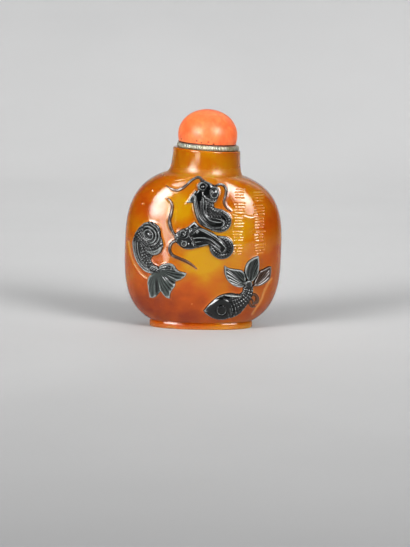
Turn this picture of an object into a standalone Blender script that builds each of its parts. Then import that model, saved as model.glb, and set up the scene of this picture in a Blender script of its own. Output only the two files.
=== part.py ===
"""A flattened, hollow snuff bottle of honey agate with its stopper.

The dark outer skin of the stone is carved on the front into two goldfish and two catfish.
The stopper is a coral dome on a thin metal collar, with a cork plug in the neck.
Metres, +Z up. The origin is on the ground below the middle of the bottle, whose front faces -Y.
"""

import math

import bmesh
import bpy
from mathutils import Vector

MM = 0.001

# Body: a rounded square seen from the front and a slim oval seen from above
BODY_WIDTH = 47.0 * MM
BODY_DEPTH = 26.0 * MM
WIDEST_LEVEL = 24.2 * MM
UPPER_HEIGHT = 22.8 * MM
LOWER_HEIGHT = 24.4 * MM
UPPER_SQUARENESS = 2.86
LOWER_SQUARENESS = 3.13
SECTION_SQUARENESS = 2.35
SHOULDER_DEPTH = 20.4 * MM
BASE_DEPTH = 11.8 * MM
BODY_LEAN = math.radians(0.65)
SHOULDER_TILT = math.radians(2.65)

# Neck, sunk a little into the shoulders, and the bore through it
NECK_DIAMETER = 20.1 * MM
NECK_FLARE = 0.25 * MM
NECK_HEIGHT = 6.7 * MM
NECK_SUNK = 0.2 * MM
LIP_ROUNDING = 0.4 * MM
LIP_TILT = math.radians(3.1)
NECK_OFFSET = 0.6 * MM
BORE_DIAMETER = 7.6 * MM
NECK_FOOT_LEVEL = WIDEST_LEVEL + UPPER_HEIGHT - NECK_SUNK
LIP_LEVEL = NECK_FOOT_LEVEL + NECK_HEIGHT

# Hollow inside the body
WALL = 3.5 * MM
FLOOR = 3.6 * MM

# Oval foot, hollowed a little below
FOOT_WIDTH = 30.9 * MM
FOOT_DEPTH = 16.7 * MM
FOOT_HEIGHT = 2.1 * MM
FOOT_OFFSET = -0.3 * MM
FOOT_RIM = 1.9 * MM
FOOT_RECESS = 0.7 * MM
FOOT_EDGE = 0.35 * MM
FOOT_GROOVE = 0.3 * MM
FOOT_SQUARENESS = 2.2

# Stopper
SEAT_GAP = 0.3 * MM
COLLAR_DIAMETER = 18.6 * MM
COLLAR_THICKNESS = 1.15 * MM
CAP_DIAMETER = 17.7 * MM
CAP_HEIGHT = 10.0 * MM
CAP_WIDEST_LEVEL = 2.5 * MM
CAP_FOOT_INSET = 0.35 * MM
CORK_CLEARANCE = 0.3 * MM
CORK_DEPTH = 5.0 * MM

# Relief: how far the figures stand out of the wall, and how deep their roots go into it.
# The stone is set back so that the middle of its whole depth, relief included, is at the origin.
RELIEF_HEIGHT = 1.0 * MM
BARBEL_HEIGHT = 0.55 * MM
RELIEF_ROOT = 0.8 * MM
SET_BACK = 0.7 * MM

# The relief is drawn on a sheet stretched over the front. Its points are millimetres across
# and up from the middle of the widest level, on a body of these half width and heights.
SHEET_HALF_WIDTH = 23.5
SHEET_UPPER_HEIGHT = 22.8
SHEET_LOWER_HEIGHT = 24.4

# Fineness of the faceted surfaces
RING_POINTS = 40
BODY_ROWS = 17
HOLLOW_ROWS = 8
TURNED_STEPS = 32

# Ribbons: smooth strips through (across, up, half width). Plain ones are domed, and a ribbed
# one has this share taken off every second rib.
LEFT_GOLDFISH_BODY = [(-14.9, 8.2, 0.6), (-15.4, 6.6, 2.8), (-15.9, 4.3, 4.2), (-15.9, 1.3, 4.6),
                      (-16.5, -1.4, 3.5), (-16.5, -3.5, 2.3), (-15.4, -5.2, 1.8), (-13.5, -6.0, 1.2)]
LEFT_GOLDFISH_FIN = [(-12.6, 2.2, 1.3), (-11.4, 1.3, 0.9), (-11.0, 0.4, 0.2)]
RIGHT_GOLDFISH_BODY = [(0.3, -17.9, 0.3), (2.2, -17.4, 2.2), (4.8, -16.5, 3.8), (7.7, -15.8, 4.0),
                       (10.6, -14.8, 3.2), (12.8, -12.5, 2.1), (13.5, -9.7, 1.4)]
RIGHT_GOLDFISH_LEAVES = [
    [(6.1, -4.0, 0.2), (7.8, -6.0, 1.5), (9.9, -8.0, 2.2), (12.6, -9.8, 1.0)],
    [(16.1, -1.3, 0.2), (14.8, -3.1, 1.6), (14.1, -5.5, 1.9), (13.8, -8.9, 1.2)],
    [(19.8, -4.6, 0.2), (18.5, -6.6, 1.3), (17.2, -8.3, 1.6), (14.3, -9.9, 1.0)],
]
RIGHT_GOLDFISH_FIN = [(14.0, -13.2, 0.6), (16.2, -13.9, 0.7), (15.6, -15.9, 0.8), (13.7, -16.9, 0.3)]
UPPER_CATFISH_BODY = [(1.3, 19.7, 1.5), (0.9, 17.1, 3.3), (0.4, 14.2, 3.4), (1.0, 11.3, 3.2),
                      (3.0, 9.3, 3.5), (5.7, 9.3, 2.9), (7.7, 9.6, 0.9)]
UPPER_CATFISH_CORE = [(-0.8, 16.2, 0.9), (-0.5, 13.3, 0.8), (0.3, 10.4, 0.8), (2.0, 8.7, 0.8),
                      (4.4, 8.7, 0.7), (6.1, 9.5, 0.4)]
UPPER_CATFISH_FIN = [(-5.2, 14.7, 0.2), (-4.2, 14.8, 0.8), (-2.6, 15.0, 1.3)]
UPPER_CATFISH_BARBELS = [
    [(-0.4, 19.9, 0.6), (-2.2, 21.6, 0.6), (-3.8, 20.4, 0.6), (-5.8, 18.7, 0.5),
     (-7.8, 17.6, 0.5), (-9.5, 18.0, 0.4), (-11.0, 18.8, 0.2)],
    [(2.9, 18.5, 0.6), (4.6, 19.6, 0.6), (5.9, 19.2, 0.6), (6.4, 18.0, 0.5), (6.2, 16.1, 0.5),
     (5.9, 14.4, 0.5), (6.4, 12.9, 0.4), (7.9, 11.8, 0.2)],
]
LOWER_CATFISH_BODY = [(-8.0, 4.0, 0.8), (-6.1, 3.8, 3.0), (-3.2, 4.0, 3.5), (-0.2, 3.7, 2.4),
                      (2.4, 3.1, 2.2), (4.2, 2.2, 3.2), (5.8, 1.2, 3.6), (7.4, 0.2, 2.6), (8.3, -0.4, 1.2)]
LOWER_CATFISH_CORE = [(-3.8, 5.1, 0.9), (-0.8, 5.0, 0.9), (2.1, 4.4, 0.8), (4.8, 3.1, 0.8),
                      (6.4, 1.5, 0.7), (6.4, 0.0, 0.6), (5.3, -0.3, 0.3)]
LOWER_CATFISH_FIN = [(-2.5, 8.8, 0.2), (-2.9, 7.7, 1.0), (-3.8, 6.0, 1.5)]
LOWER_CATFISH_BARBELS = [
    [(-7.2, 3.9, 0.6), (-9.5, 6.4, 0.6), (-10.1, 8.6, 0.6), (-9.8, 11.0, 0.5),
     (-9.0, 13.1, 0.5), (-9.4, 14.4, 0.4), (-10.5, 15.2, 0.2)],
    [(-7.2, 3.5, 0.6), (-9.2, 1.9, 0.6), (-9.8, 0.3, 0.6), (-9.2, -1.4, 0.5), (-7.1, -2.5, 0.5),
     (-5.1, -3.5, 0.5), (-3.0, -4.6, 0.4), (-1.7, -5.3, 0.2)],
]
RIB_CUT = 0.4
LEAST_HALF_WIDTH = 0.12
INNER_REACH = 0.85

# The left goldfish's tail: rays from one root, each an angle in degrees and a length
TAIL_ROOT = (-13.9, -5.4)
TAIL_RAYS = [(32, 3.3), (16, 5.0), (-4, 6.1), (-9, 8.8), (-24, 7.8), (-36, 7.0), (-57, 8.1),
             (-67, 10.2), (-80, 7.5), (-91, 8.2), (-104, 9.0), (-116, 6.1), (-134, 3.6)]

# Round bosses, each (across, up, radius): the bulging eyes, and the ringed cheek round one
EYES = [(-15.5, 4.3, 1.5), (5.7, -17.5, 1.2), (-0.2, 19.1, 1.5), (2.9, 17.5, 1.4),
        (-5.9, 5.2, 1.4), (-5.3, 2.4, 1.35)]
CHEEK = (-15.5, 4.2, 2.7)
BOSS_SIDES = 12

# Their profiles from the rim to the middle: (share of the radius, share of the relief's height)
EYE_PROFILE = [(1, 1), (0.85, 1.3), (0.65, 1.15), (0.45, 1.45), (0, 1.6)]
CHEEK_PROFILE = [(1, 0.9), (0.9, 1.25), (0.7, 1.2), (0, 1.2)]

# Crowns across a ribbon: (share of the half width, share of the height)
BROAD_CROWN = [(-1, 0.45), (-0.8, 0.8), (-0.35, 0.97), (0, 1), (0.35, 0.97), (0.8, 0.8), (1, 0.45)]
NARROW_CROWN = [(-1, 0.3), (0, 1), (1, 0.3)]
LEAF_CROWN = [(-1, 0.5), (-0.5, 0.8), (0, 0.55), (0.5, 0.8), (1, 0.5)]
BAND_CROWN = [(-1, 0.45), (-0.75, 0.85), (0, 0.85), (0.75, 0.85), (1, 0.45)]

STONE_COLOUR = (0.60, 0.27, 0.035, 1.0)
SKIN_COLOUR = (0.028, 0.022, 0.018, 1.0)
COLLAR_COLOUR = (0.33, 0.31, 0.26, 1.0)
CORAL_COLOUR = (0.90, 0.25, 0.08, 1.0)
CORK_COLOUR = (0.42, 0.27, 0.14, 1.0)


def clear_scene():
    for obj in list(bpy.data.objects):
        bpy.data.objects.remove(obj)


def make_material(name, colour, roughness, metallic=0.0):
    material = bpy.data.materials.new(name)
    material.use_nodes = True
    shader = material.node_tree.nodes["Principled BSDF"]
    shader.inputs["Base Color"].default_value = colour
    shader.inputs["Roughness"].default_value = roughness
    shader.inputs["Metallic"].default_value = metallic
    return material


def object_from(bm, name, material):
    """A new object in the scene, with smooth faces that stay sharp at hard edges."""
    bmesh.ops.recalc_face_normals(bm, faces=bm.faces)
    mesh = bpy.data.meshes.new(name)
    bm.to_mesh(mesh)
    bm.free()
    mesh.materials.append(material)
    mesh.shade_smooth()
    mesh.set_sharp_from_angle(angle=math.radians(40))
    obj = bpy.data.objects.new(name, mesh)
    bpy.context.scene.collection.objects.link(obj)
    return obj


def outline_half(above, inset):
    """The height and the squareness of the body's outline above or below its widest level."""
    if above:
        return UPPER_HEIGHT - inset, UPPER_SQUARENESS
    return LOWER_HEIGHT - inset, LOWER_SQUARENESS


class Section:
    """One level of the body: its half width and half depth, its middle, and its tilt."""

    def __init__(self, level, inset=0.0):
        above = level > WIDEST_LEVEL
        reach, squareness = outline_half(above, inset)
        end = (SHOULDER_DEPTH if above else BASE_DEPTH) / 2 - inset
        share = min(abs(level - WIDEST_LEVEL) / reach, 0.9999)
        self.level = level
        self.half_width = (BODY_WIDTH / 2 - inset) * (1 - share**squareness) ** (1 / squareness)
        self.half_depth = end + (BODY_DEPTH / 2 - inset - end) * math.sqrt(1 - share**2)
        self.middle = math.tan(BODY_LEAN) * (level - WIDEST_LEVEL)
        self.tilt = SHOULDER_TILT * share**2 if above else 0.0

    def ring(self):
        return oval(self.middle, self.level, self.half_width, self.half_depth,
                    SECTION_SQUARENESS, self.tilt)


def oval(middle, level, half_width, half_depth, squareness=2.0, tilt=0.0):
    """A ring of points round a level, anticlockwise from above; squareness 2 is an ellipse."""
    points = []
    for step in range(RING_POINTS):
        turn = 2 * math.pi * step / RING_POINTS
        across = half_width * math.copysign(abs(math.cos(turn)) ** (2 / squareness), math.cos(turn))
        along = half_depth * math.copysign(abs(math.sin(turn)) ** (2 / squareness), math.sin(turn))
        points.append(Vector((middle + across, SET_BACK + along, level - across * math.tan(tilt))))
    return points


def body_levels(first, last, rows, inset=0.0):
    """Levels between two on the body, closer together where the outline turns in."""
    turns = []
    for level in (first, last):
        reach, squareness = outline_half(level > WIDEST_LEVEL, inset)
        share = min(abs(level - WIDEST_LEVEL) / reach, 1.0)
        turns.append(math.copysign(math.asin(share ** (squareness / 2)), level - WIDEST_LEVEL))
    levels = []
    for row in range(rows + 1):
        turn = turns[0] + (turns[1] - turns[0]) * row / rows
        reach, squareness = outline_half(turn > 0, inset)
        share = abs(math.sin(turn)) ** (2 / squareness)
        levels.append(WIDEST_LEVEL + math.copysign(share * reach, turn))
    return levels


def level_of_half_width(half_width, inset=0.0):
    """The level on the upper body where its half width has shrunk to this."""
    share = half_width / (BODY_WIDTH / 2 - inset)
    height = (1 - share**UPPER_SQUARENESS) ** (1 / UPPER_SQUARENESS)
    return WIDEST_LEVEL + (UPPER_HEIGHT - inset) * height


def foot_ring(level, inset):
    return oval(FOOT_OFFSET, level, FOOT_WIDTH / 2 - inset, FOOT_DEPTH / 2 - inset, FOOT_SQUARENESS)


def neck_ring(level, radius, tilt):
    return oval(NECK_OFFSET, level, radius, radius, 2.0, tilt)


def bottle_rings():
    """Rings from the underside up the outside, over the lip and down the hollow to its floor."""
    neck_radius = NECK_DIAMETER / 2
    bore_radius = BORE_DIAMETER / 2
    rings = [
        foot_ring(FOOT_RECESS, FOOT_RIM + FOOT_RECESS),
        foot_ring(0, FOOT_RIM),
        foot_ring(0, FOOT_EDGE),
        foot_ring(FOOT_EDGE, 0),
        foot_ring(FOOT_HEIGHT - FOOT_GROOVE, 0),
        foot_ring(FOOT_HEIGHT, FOOT_GROOVE),
    ]
    shoulder = level_of_half_width(neck_radius + NECK_FLARE + NECK_OFFSET)
    for level in body_levels(FOOT_HEIGHT + FOOT_GROOVE, shoulder, BODY_ROWS):
        rings.append(Section(level).ring())
    rings += [
        neck_ring(NECK_FOOT_LEVEL, neck_radius + NECK_FLARE, SHOULDER_TILT),
        neck_ring(LIP_LEVEL - LIP_ROUNDING, neck_radius, LIP_TILT),
        neck_ring(LIP_LEVEL, neck_radius - LIP_ROUNDING, LIP_TILT),
        neck_ring(LIP_LEVEL, bore_radius + LIP_ROUNDING, LIP_TILT),
        neck_ring(LIP_LEVEL - LIP_ROUNDING, bore_radius, LIP_TILT),
    ]
    ceiling = level_of_half_width(bore_radius + WALL / 2, WALL)
    rings.append(neck_ring(ceiling + WALL / 2, bore_radius, 0))
    floor = FOOT_HEIGHT + FLOOR
    for level in reversed(body_levels(floor, ceiling, HOLLOW_ROWS, WALL)):
        rings.append(Section(level, WALL).ring())
    return rings


def close_on_middle(bm, loop):
    middle = bm.verts.new(sum((vert.co for vert in loop), Vector()) / len(loop))
    for i, vert in enumerate(loop):
        bm.faces.new((vert, loop[(i + 1) % len(loop)], middle))


def loft(bm, rings):
    """Bridges rings of equal length and closes both ends on a middle point."""
    loops = [[bm.verts.new(point) for point in ring] for ring in rings]
    for lower, upper in zip(loops, loops[1:]):
        for i in range(RING_POINTS):
            j = (i + 1) % RING_POINTS
            bm.faces.new((lower[i], lower[j], upper[j], upper[i]))
    close_on_middle(bm, loops[0])
    close_on_middle(bm, loops[-1])


def front_depth(x, z):
    """Y of the body's front at (x, z), allowing for the tilt of the shoulders."""
    level = z
    for _ in range(4):
        section = Section(level)
        level = z + (x - section.middle) * math.tan(section.tilt)
    across = min(abs(x - section.middle) / section.half_width, 0.995)
    return SET_BACK - section.half_depth * (1 - across**SECTION_SQUARENESS) ** (1 / SECTION_SQUARENESS)


def on_front(across, up, rise):
    """The point of the relief sheet at (across, up), this far out of the body's front."""
    step = 0.05 * MM
    x = across * BODY_WIDTH / 2 / SHEET_HALF_WIDTH
    if up > 0:
        z = WIDEST_LEVEL + up * UPPER_HEIGHT / SHEET_UPPER_HEIGHT
    else:
        z = WIDEST_LEVEL + up * LOWER_HEIGHT / SHEET_LOWER_HEIGHT
    slope_x = (front_depth(x + step, z) - front_depth(x - step, z)) / (2 * step)
    slope_z = (front_depth(x, z + step) - front_depth(x, z - step)) / (2 * step)
    outward = Vector((slope_x, -1, slope_z)).normalized()
    return Vector((x, front_depth(x, z), z)) + rise * outward


def smooth_path(points, steps):
    """Points on a smooth curve through the given ones, with this many steps between two."""
    known = [Vector(p) for p in points]
    known = [2 * known[0] - known[1]] + known + [2 * known[-1] - known[-2]]
    path = []
    for a, b, c, d in zip(known, known[1:], known[2:], known[3:]):
        for step in range(steps):
            t = step / steps
            path.append(0.5 * (2 * b + (c - a) * t + (2 * a - 5 * b + 4 * c - d) * t**2
                               + (3 * b - a - 3 * c + d) * t**3))
    path.append(known[-2])
    return path


def bend_at(before, here, after):
    """How sharply a path turns, as one over the radius, positive towards its left."""
    first, second = (here - before).to_2d(), (after - here).to_2d()
    if first.length == 0 or second.length == 0:
        return 0.0
    return -first.angle_signed(second) / ((first.length + second.length) / 2)


def ribbon(name, points, crown, height, material, steps=3, ribbed=False):
    """A strip along a smooth path. The crown lists (share of the half width, share of the height)."""
    path = smooth_path(points, steps)
    bm = bmesh.new()
    stations = []
    for i, here in enumerate(path):
        before, after = path[max(i - 1, 0)], path[min(i + 1, len(path) - 1)]
        along = (after - before).to_2d().normalized()
        aside = Vector((-along.y, along.x))
        bend = bend_at(before, here, after)
        lower = RIB_CUT if ribbed and i % 2 else 0.0
        rises = [height * rise * (1 - lower * abs(share)) for share, rise in crown]
        shares = [share for share, rise in crown]
        loop = []
        for share, rise in zip(shares + [1, -1], rises + [-RELIEF_ROOT, -RELIEF_ROOT]):
            reach = share * max(here.z, LEAST_HALF_WIDTH)
            if reach * bend > INNER_REACH:
                reach = INNER_REACH / bend
            loop.append(bm.verts.new(on_front(*(here.to_2d() + aside * reach), rise)))
        stations.append(loop)
    for first, second in zip(stations, stations[1:]):
        for i in range(len(first)):
            j = (i + 1) % len(first)
            bm.faces.new((first[i], first[j], second[j], second[i]))
    close_on_middle(bm, stations[0])
    close_on_middle(bm, stations[-1])
    bmesh.ops.triangulate(bm, faces=bm.faces)
    return object_from(bm, name, material)


def fan(name, root, rays, height, material):
    """A pleated tail fin: rays from a root, with every second ray a valley."""
    spread = []
    for (angle, reach), (next_angle, next_reach) in zip(rays, rays[1:]):
        spread.append((angle, reach))
        spread.append(((angle + next_angle) / 2, (reach + next_reach) / 2))
    spread.append(rays[-1])
    bm = bmesh.new()
    top = bm.verts.new(on_front(*root, height))
    base = bm.verts.new(on_front(*root, -RELIEF_ROOT))
    loops = []
    for i, (angle, reach) in enumerate(spread):
        way = Vector((math.cos(math.radians(angle)), math.sin(math.radians(angle))))
        ridge = 1.0 if i % 2 else 1.0 - RIB_CUT
        loop = []
        for share, rise in ((0.5, 0.9 * ridge * height), (1.0, 0.5 * ridge * height), (1.0, -RELIEF_ROOT)):
            loop.append(bm.verts.new(on_front(*(Vector(root) + way * reach * share), rise)))
        loops.append(loop)
    for (a1, a2, a3), (b1, b2, b3) in zip(loops, loops[1:]):
        bm.faces.new((top, a1, b1))
        bm.faces.new((a1, a2, b2, b1))
        bm.faces.new((a2, a3, b3, b2))
        bm.faces.new((a3, base, b3))
    for loop in (loops[0], loops[-1]):
        bm.faces.new((top, loop[0], loop[1], loop[2], base))
    bmesh.ops.triangulate(bm, faces=bm.faces)
    return object_from(bm, name, material)


def boss(name, across, up, radius, profile, material):
    """A round boss on the front with this profile, such as an eye."""
    rim = (profile[0][0], -RELIEF_ROOT / RELIEF_HEIGHT)
    bm = bmesh.new()
    loops = []
    for share, rise in [rim] + profile[:-1]:
        loop = []
        for side in range(BOSS_SIDES):
            turn = 2 * math.pi * side / BOSS_SIDES
            place = (across + share * radius * math.cos(turn), up + share * radius * math.sin(turn))
            loop.append(bm.verts.new(on_front(*place, rise * RELIEF_HEIGHT)))
        loops.append(loop)
    for lower, upper in zip(loops, loops[1:]):
        for i in range(BOSS_SIDES):
            j = (i + 1) % BOSS_SIDES
            bm.faces.new((lower[i], lower[j], upper[j], upper[i]))
    ends = ((loops[0], -RELIEF_ROOT), (loops[-1], profile[-1][1] * RELIEF_HEIGHT))
    for loop, rise in ends:
        middle = bm.verts.new(on_front(across, up, rise))
        for i in range(BOSS_SIDES):
            bm.faces.new((loop[i], loop[(i + 1) % BOSS_SIDES], middle))
    bmesh.ops.triangulate(bm, faces=bm.faces)
    return object_from(bm, name, material)


def goldfish(material):
    pieces = [
        ribbon("relief_left_goldfish", LEFT_GOLDFISH_BODY, BROAD_CROWN, 1.1 * RELIEF_HEIGHT, material),
        ribbon("relief_left_goldfish_fin", LEFT_GOLDFISH_FIN, NARROW_CROWN, 0.7 * RELIEF_HEIGHT, material),
        fan("relief_left_goldfish_tail", TAIL_ROOT, TAIL_RAYS, 0.95 * RELIEF_HEIGHT, material),
        ribbon("relief_right_goldfish", RIGHT_GOLDFISH_BODY, BROAD_CROWN, 1.1 * RELIEF_HEIGHT, material),
        ribbon("relief_right_goldfish_fin", RIGHT_GOLDFISH_FIN, NARROW_CROWN, 0.6 * RELIEF_HEIGHT, material),
    ]
    for i, leaf in enumerate(RIGHT_GOLDFISH_LEAVES):
        name = f"relief_right_goldfish_leaf_{i + 1}"
        pieces.append(ribbon(name, leaf, LEAF_CROWN, RELIEF_HEIGHT, material, steps=4))
    return pieces


def catfish(name, body, core, fin, barbels, material):
    pieces = [
        ribbon(f"relief_{name}", body, BAND_CROWN, 0.95 * RELIEF_HEIGHT, material, ribbed=True),
        ribbon(f"relief_{name}_core", core, NARROW_CROWN, 1.25 * RELIEF_HEIGHT, material),
        ribbon(f"relief_{name}_fin", fin, NARROW_CROWN, 0.7 * RELIEF_HEIGHT, material),
    ]
    for i, barbel in enumerate(barbels):
        pieces.append(ribbon(f"relief_{name}_barbel_{i + 1}", barbel, NARROW_CROWN, BARBEL_HEIGHT, material,
                             steps=2))
    return pieces


def relief_pieces(material):
    """Every figure as closed helpers, rooted in the wall of the bottle."""
    pieces = goldfish(material)
    pieces += catfish("upper_catfish", UPPER_CATFISH_BODY, UPPER_CATFISH_CORE, UPPER_CATFISH_FIN,
                      UPPER_CATFISH_BARBELS, material)
    pieces += catfish("lower_catfish", LOWER_CATFISH_BODY, LOWER_CATFISH_CORE, LOWER_CATFISH_FIN,
                      LOWER_CATFISH_BARBELS, material)
    pieces.append(boss("relief_left_goldfish_cheek", *CHEEK, CHEEK_PROFILE, material))
    for i, place in enumerate(EYES):
        pieces.append(boss(f"relief_eye_{i + 1}", *place, EYE_PROFILE, material))
    return pieces


def make_bottle(stone, skin):
    """The hollow stone with its figures joined on."""
    bm = bmesh.new()
    loft(bm, bottle_rings())
    bmesh.ops.triangulate(bm, faces=bm.faces)
    bottle = object_from(bm, "bottle", stone)
    figures = bpy.data.collections.new("relief")
    bpy.context.scene.collection.children.link(figures)
    for piece in relief_pieces(skin):
        piece.hide_render = True
        piece.display_type = "WIRE"
        bpy.context.scene.collection.objects.unlink(piece)
        figures.objects.link(piece)
    union = bottle.modifiers.new("relief", "BOOLEAN")
    union.operation = "UNION"
    union.operand_type = "COLLECTION"
    union.collection = figures
    union.solver = "EXACT"
    union.material_mode = "TRANSFER"
    return bottle


def turned(name, profile, material, parent):
    """Spins (radius, height) points, which run up the outside, into a closed round piece."""
    bm = bmesh.new()
    verts = [bm.verts.new((radius, 0, height)) for radius, height in profile]
    edges = [bm.edges.new(pair) for pair in zip(verts, verts[1:])]
    if profile[0][0] > 0:
        edges.append(bm.edges.new((verts[-1], verts[0])))
    bmesh.ops.spin(bm, geom=verts + edges, cent=(0, 0, 0), axis=(0, 0, 1), dvec=(0, 0, 0),
                   angle=2 * math.pi, steps=TURNED_STEPS, use_merge=True, use_duplicate=False)
    bmesh.ops.remove_doubles(bm, verts=bm.verts, dist=1e-7)
    obj = object_from(bm, name, material)
    obj.parent = parent
    return obj


def stopper_seat():
    """An empty at the middle of the lip, tilted with it, which carries the stopper."""
    seat = bpy.data.objects.new("stopper_seat", None)
    seat.location = (NECK_OFFSET, SET_BACK, LIP_LEVEL)
    seat.rotation_euler = (0, LIP_TILT, 0)
    bpy.context.scene.collection.objects.link(seat)
    return seat


def make_collar(material, seat):
    """A thin disc with a rounded rim, open in the middle for the cork."""
    low, high = SEAT_GAP, SEAT_GAP + COLLAR_THICKNESS
    radius = COLLAR_DIAMETER / 2
    hole = BORE_DIAMETER / 2
    rounding = COLLAR_THICKNESS / 3
    profile = [
        (hole, low),
        (radius - rounding, low),
        (radius, low + rounding),
        (radius, high - rounding),
        (radius - rounding, high),
        (hole, high),
    ]
    return turned("stopper_collar", profile, material, seat)


def make_cap(material, seat):
    """A coral dome, widest a little above its flat underside."""
    low = 2 * SEAT_GAP + COLLAR_THICKNESS
    radius = CAP_DIAMETER / 2
    profile = [(0, low), (radius - CAP_FOOT_INSET, low)]
    for step in range(1, 3):
        share = step / 3
        bulge = CAP_FOOT_INSET * (1 - share) ** 2
        profile.append((radius - bulge, low + CAP_WIDEST_LEVEL * share))
    rise = CAP_HEIGHT - CAP_WIDEST_LEVEL
    for step in range(10):
        turn = math.pi / 2 * step / 10
        profile.append((radius * math.cos(turn), low + CAP_WIDEST_LEVEL + rise * math.sin(turn)))
    profile.append((0, low + CAP_HEIGHT))
    return turned("stopper_cap", profile, material, seat)


def make_cork(material, seat):
    """A plug that hangs from under the cap, through the collar, into the bore."""
    radius = BORE_DIAMETER / 2 - CORK_CLEARANCE
    rounding = CORK_CLEARANCE
    top = SEAT_GAP + COLLAR_THICKNESS
    profile = [
        (0, -CORK_DEPTH),
        (radius - rounding, -CORK_DEPTH),
        (radius, rounding - CORK_DEPTH),
        (radius, top),
        (0, top),
    ]
    return turned("stopper_cork", profile, material, seat)


def main():
    clear_scene()
    stone = make_material("honey_agate", STONE_COLOUR, 0.15)
    skin = make_material("black_agate", SKIN_COLOUR, 0.25)
    make_bottle(stone, skin)
    seat = stopper_seat()
    make_collar(make_material("collar_metal", COLLAR_COLOUR, 0.45, 0.7), seat)
    make_cap(make_material("coral", CORAL_COLOUR, 0.3), seat)
    make_cork(make_material("cork", CORK_COLOUR, 0.85), seat)


main()
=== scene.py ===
"""The looks of a honey agate snuff bottle: polished stone, carved black figures and a coral stopper.

Shapes are worked out in millimetres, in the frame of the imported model, and scaled when a mesh is
made. The figures are drawn on a sheet stretched over the bottle's front, as (across, up) from the
middle of its widest level, and carved there as heights over a fine grid.
"""

import math

import bpy
import numpy as np
from mathutils import Matrix, Vector


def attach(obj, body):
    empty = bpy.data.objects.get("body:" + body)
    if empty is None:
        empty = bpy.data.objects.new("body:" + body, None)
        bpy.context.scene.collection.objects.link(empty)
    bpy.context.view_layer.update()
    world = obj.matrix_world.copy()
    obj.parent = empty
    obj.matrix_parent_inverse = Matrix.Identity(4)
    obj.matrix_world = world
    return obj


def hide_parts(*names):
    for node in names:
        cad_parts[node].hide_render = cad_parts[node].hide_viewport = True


MM = 0.001

# The stone's form, as in the model: reach, squareness and half depth at the end, above and below
WIDEST = 24.2
UPPER = (22.8, 2.86, 10.2)
LOWER = (24.4, 3.13, 5.9)
HALF_WIDTH, HALF_DEPTH, SECTION = 23.5, 13.0, 2.35
LEAN, SHOULDER_TILT, LIP_TILT = (math.radians(angle) for angle in (0.65, 2.65, 3.1))
SET_BACK = 0.7
BODY_FOOT, SHOULDER_LEVEL, NECK_FOOT, LIP_LEVEL = 2.42, 45.85, 46.05, 53.5
NECK_RADIUS, NECK_FLARE, NECK_OFFSET, BORE_RADIUS = 10.05, 0.25, 0.6, 3.8
NECK_SPREAD, NECK_FILLET = 0.35, 0.65
LIP_ROUNDING = 0.4
WALL, FLOOR_LEVEL = 3.5, 5.7
FOOT_HALF = (15.45, 8.35)
FOOT_OFFSET, FOOT_SQUARENESS = -0.3, 2.2

# Foot, from the recess below it to the body: level and inset. Neck: shares of its height.
FOOT_STEPS = [
    (0.7, 8.2), (0.7, 4.2), (0.7, 2.8), (0.55, 2.35), (0.15, 2.0), (0.0, 1.85), (0.0, 1.1), (0.0, 0.4),
    (0.06, 0.18), (0.18, 0.06), (0.4, 0.0), (1.1, 0.0), (1.7, 0.03), (1.95, 0.12), (2.1, 0.3),
]
NECK_SHARES = (0, 0.012, 0.03, 0.05, 0.08, 0.12, 0.17, 0.23, 0.3, 0.4, 0.5, 0.65, 0.8, 0.94)

# Carving: the grid's pitch, the steepness and inset of a figure's wall, how far its edge sinks
# into the stone and how much further its flat back lies, a height well below the stone's surface
# and a distance well away from any figure. Then values that the figures share, and how far round
# a part its wall is worked out.
PITCH = 0.1
WALL_SLOPE, WALL_INSET = 3.2, 0.2
SUNK, ROOT = 0.3, 0.5
NOTHING, FAR = -3.0, 9.0
FIN_HEIGHT, EYE_FOOT = 0.98, 0.75
RIB_PITCH, RIB_DEPTH = 0.72, 0.14
RIDGE = (-0.22, 0.13)
MARGIN = 1.6

# Spacing of the stone's points: round its front, behind and where strokes are cut, and up the body
FRONT_PITCH, BACK_PITCH, STROKE_PITCH = 0.27, 1.2, 0.135
LEVEL_PITCH, STROKE_LEVEL_PITCH = 0.36, 0.165
STROKE_ZONE, STROKE_LEVELS = (7.5, 19.5), (18.5, 43.5)
HOLLOW_RINGS = 14

# The stone's skin lies a little inside the model's, and is raised beside the figures
SKIN_INSET = 0.035
RIM_LIFT, RIM_WIDTH = 0.11, 0.4

# The stone is paler beside the figures, in cuts and at the foot, and duller at the neck's foot
HALO_WIDTH, FULL_CUT = 0.45, 0.15
FOOT_PALE, FOOT_PALE_REACH = 0.55, 0.55
CORNER_RISE, CORNER_REACH = 0.9, 1.8

# Stopper: the hole in the collar and the wax, and how far the collar sits to the right
CORK_HOLE, COLLAR_ASIDE = 3.85, 0.3

# Camera, fitted to the photograph
CAMERA_PLACE = (0.7, -749.3, 113.0)
CAMERA_TARGET = (0.7, 0.7, 15.9)
CAMERA_LENS = 165.9
CAMERA_ROLL = math.radians(1.0)

# Outlines are smooth runs of (across, up) between corners, and strips are (across, up, half width)
LEFT_OUTLINE = [
    [(-16.0, 8.3), (-14.4, 8.1), (-13.2, 7.2), (-12.5, 5.7), (-12.2, 3.9), (-11.7, 2.3), (-11.5, 1.2),
     (-12.2, 0.0), (-13.6, -1.3), (-14.8, -2.3), (-15.1, -3.2), (-14.4, -4.2), (-13.2, -4.7), (-12.3, -5.5),
     (-12.7, -6.6), (-14.0, -7.3), (-15.8, -7.2), (-17.5, -6.4), (-19.1, -4.7), (-20.2, -2.5),
     (-20.7, -0.2), (-20.8, 1.8), (-20.4, 3.6), (-19.7, 5.2), (-18.7, 6.6), (-17.4, 7.8), (-16.0, 8.3)],
]
LEFT_SPINE = [
    (-14.9, 8.2, 0.6), (-15.6, 6.6, 2.8), (-16.2, 4.3, 4.2), (-16.4, 1.3, 4.6), (-17.4, -1.4, 3.3),
    (-17.3, -3.5, 2.3), (-15.6, -5.4, 1.8), (-13.5, -6.0, 1.2),
]
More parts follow.
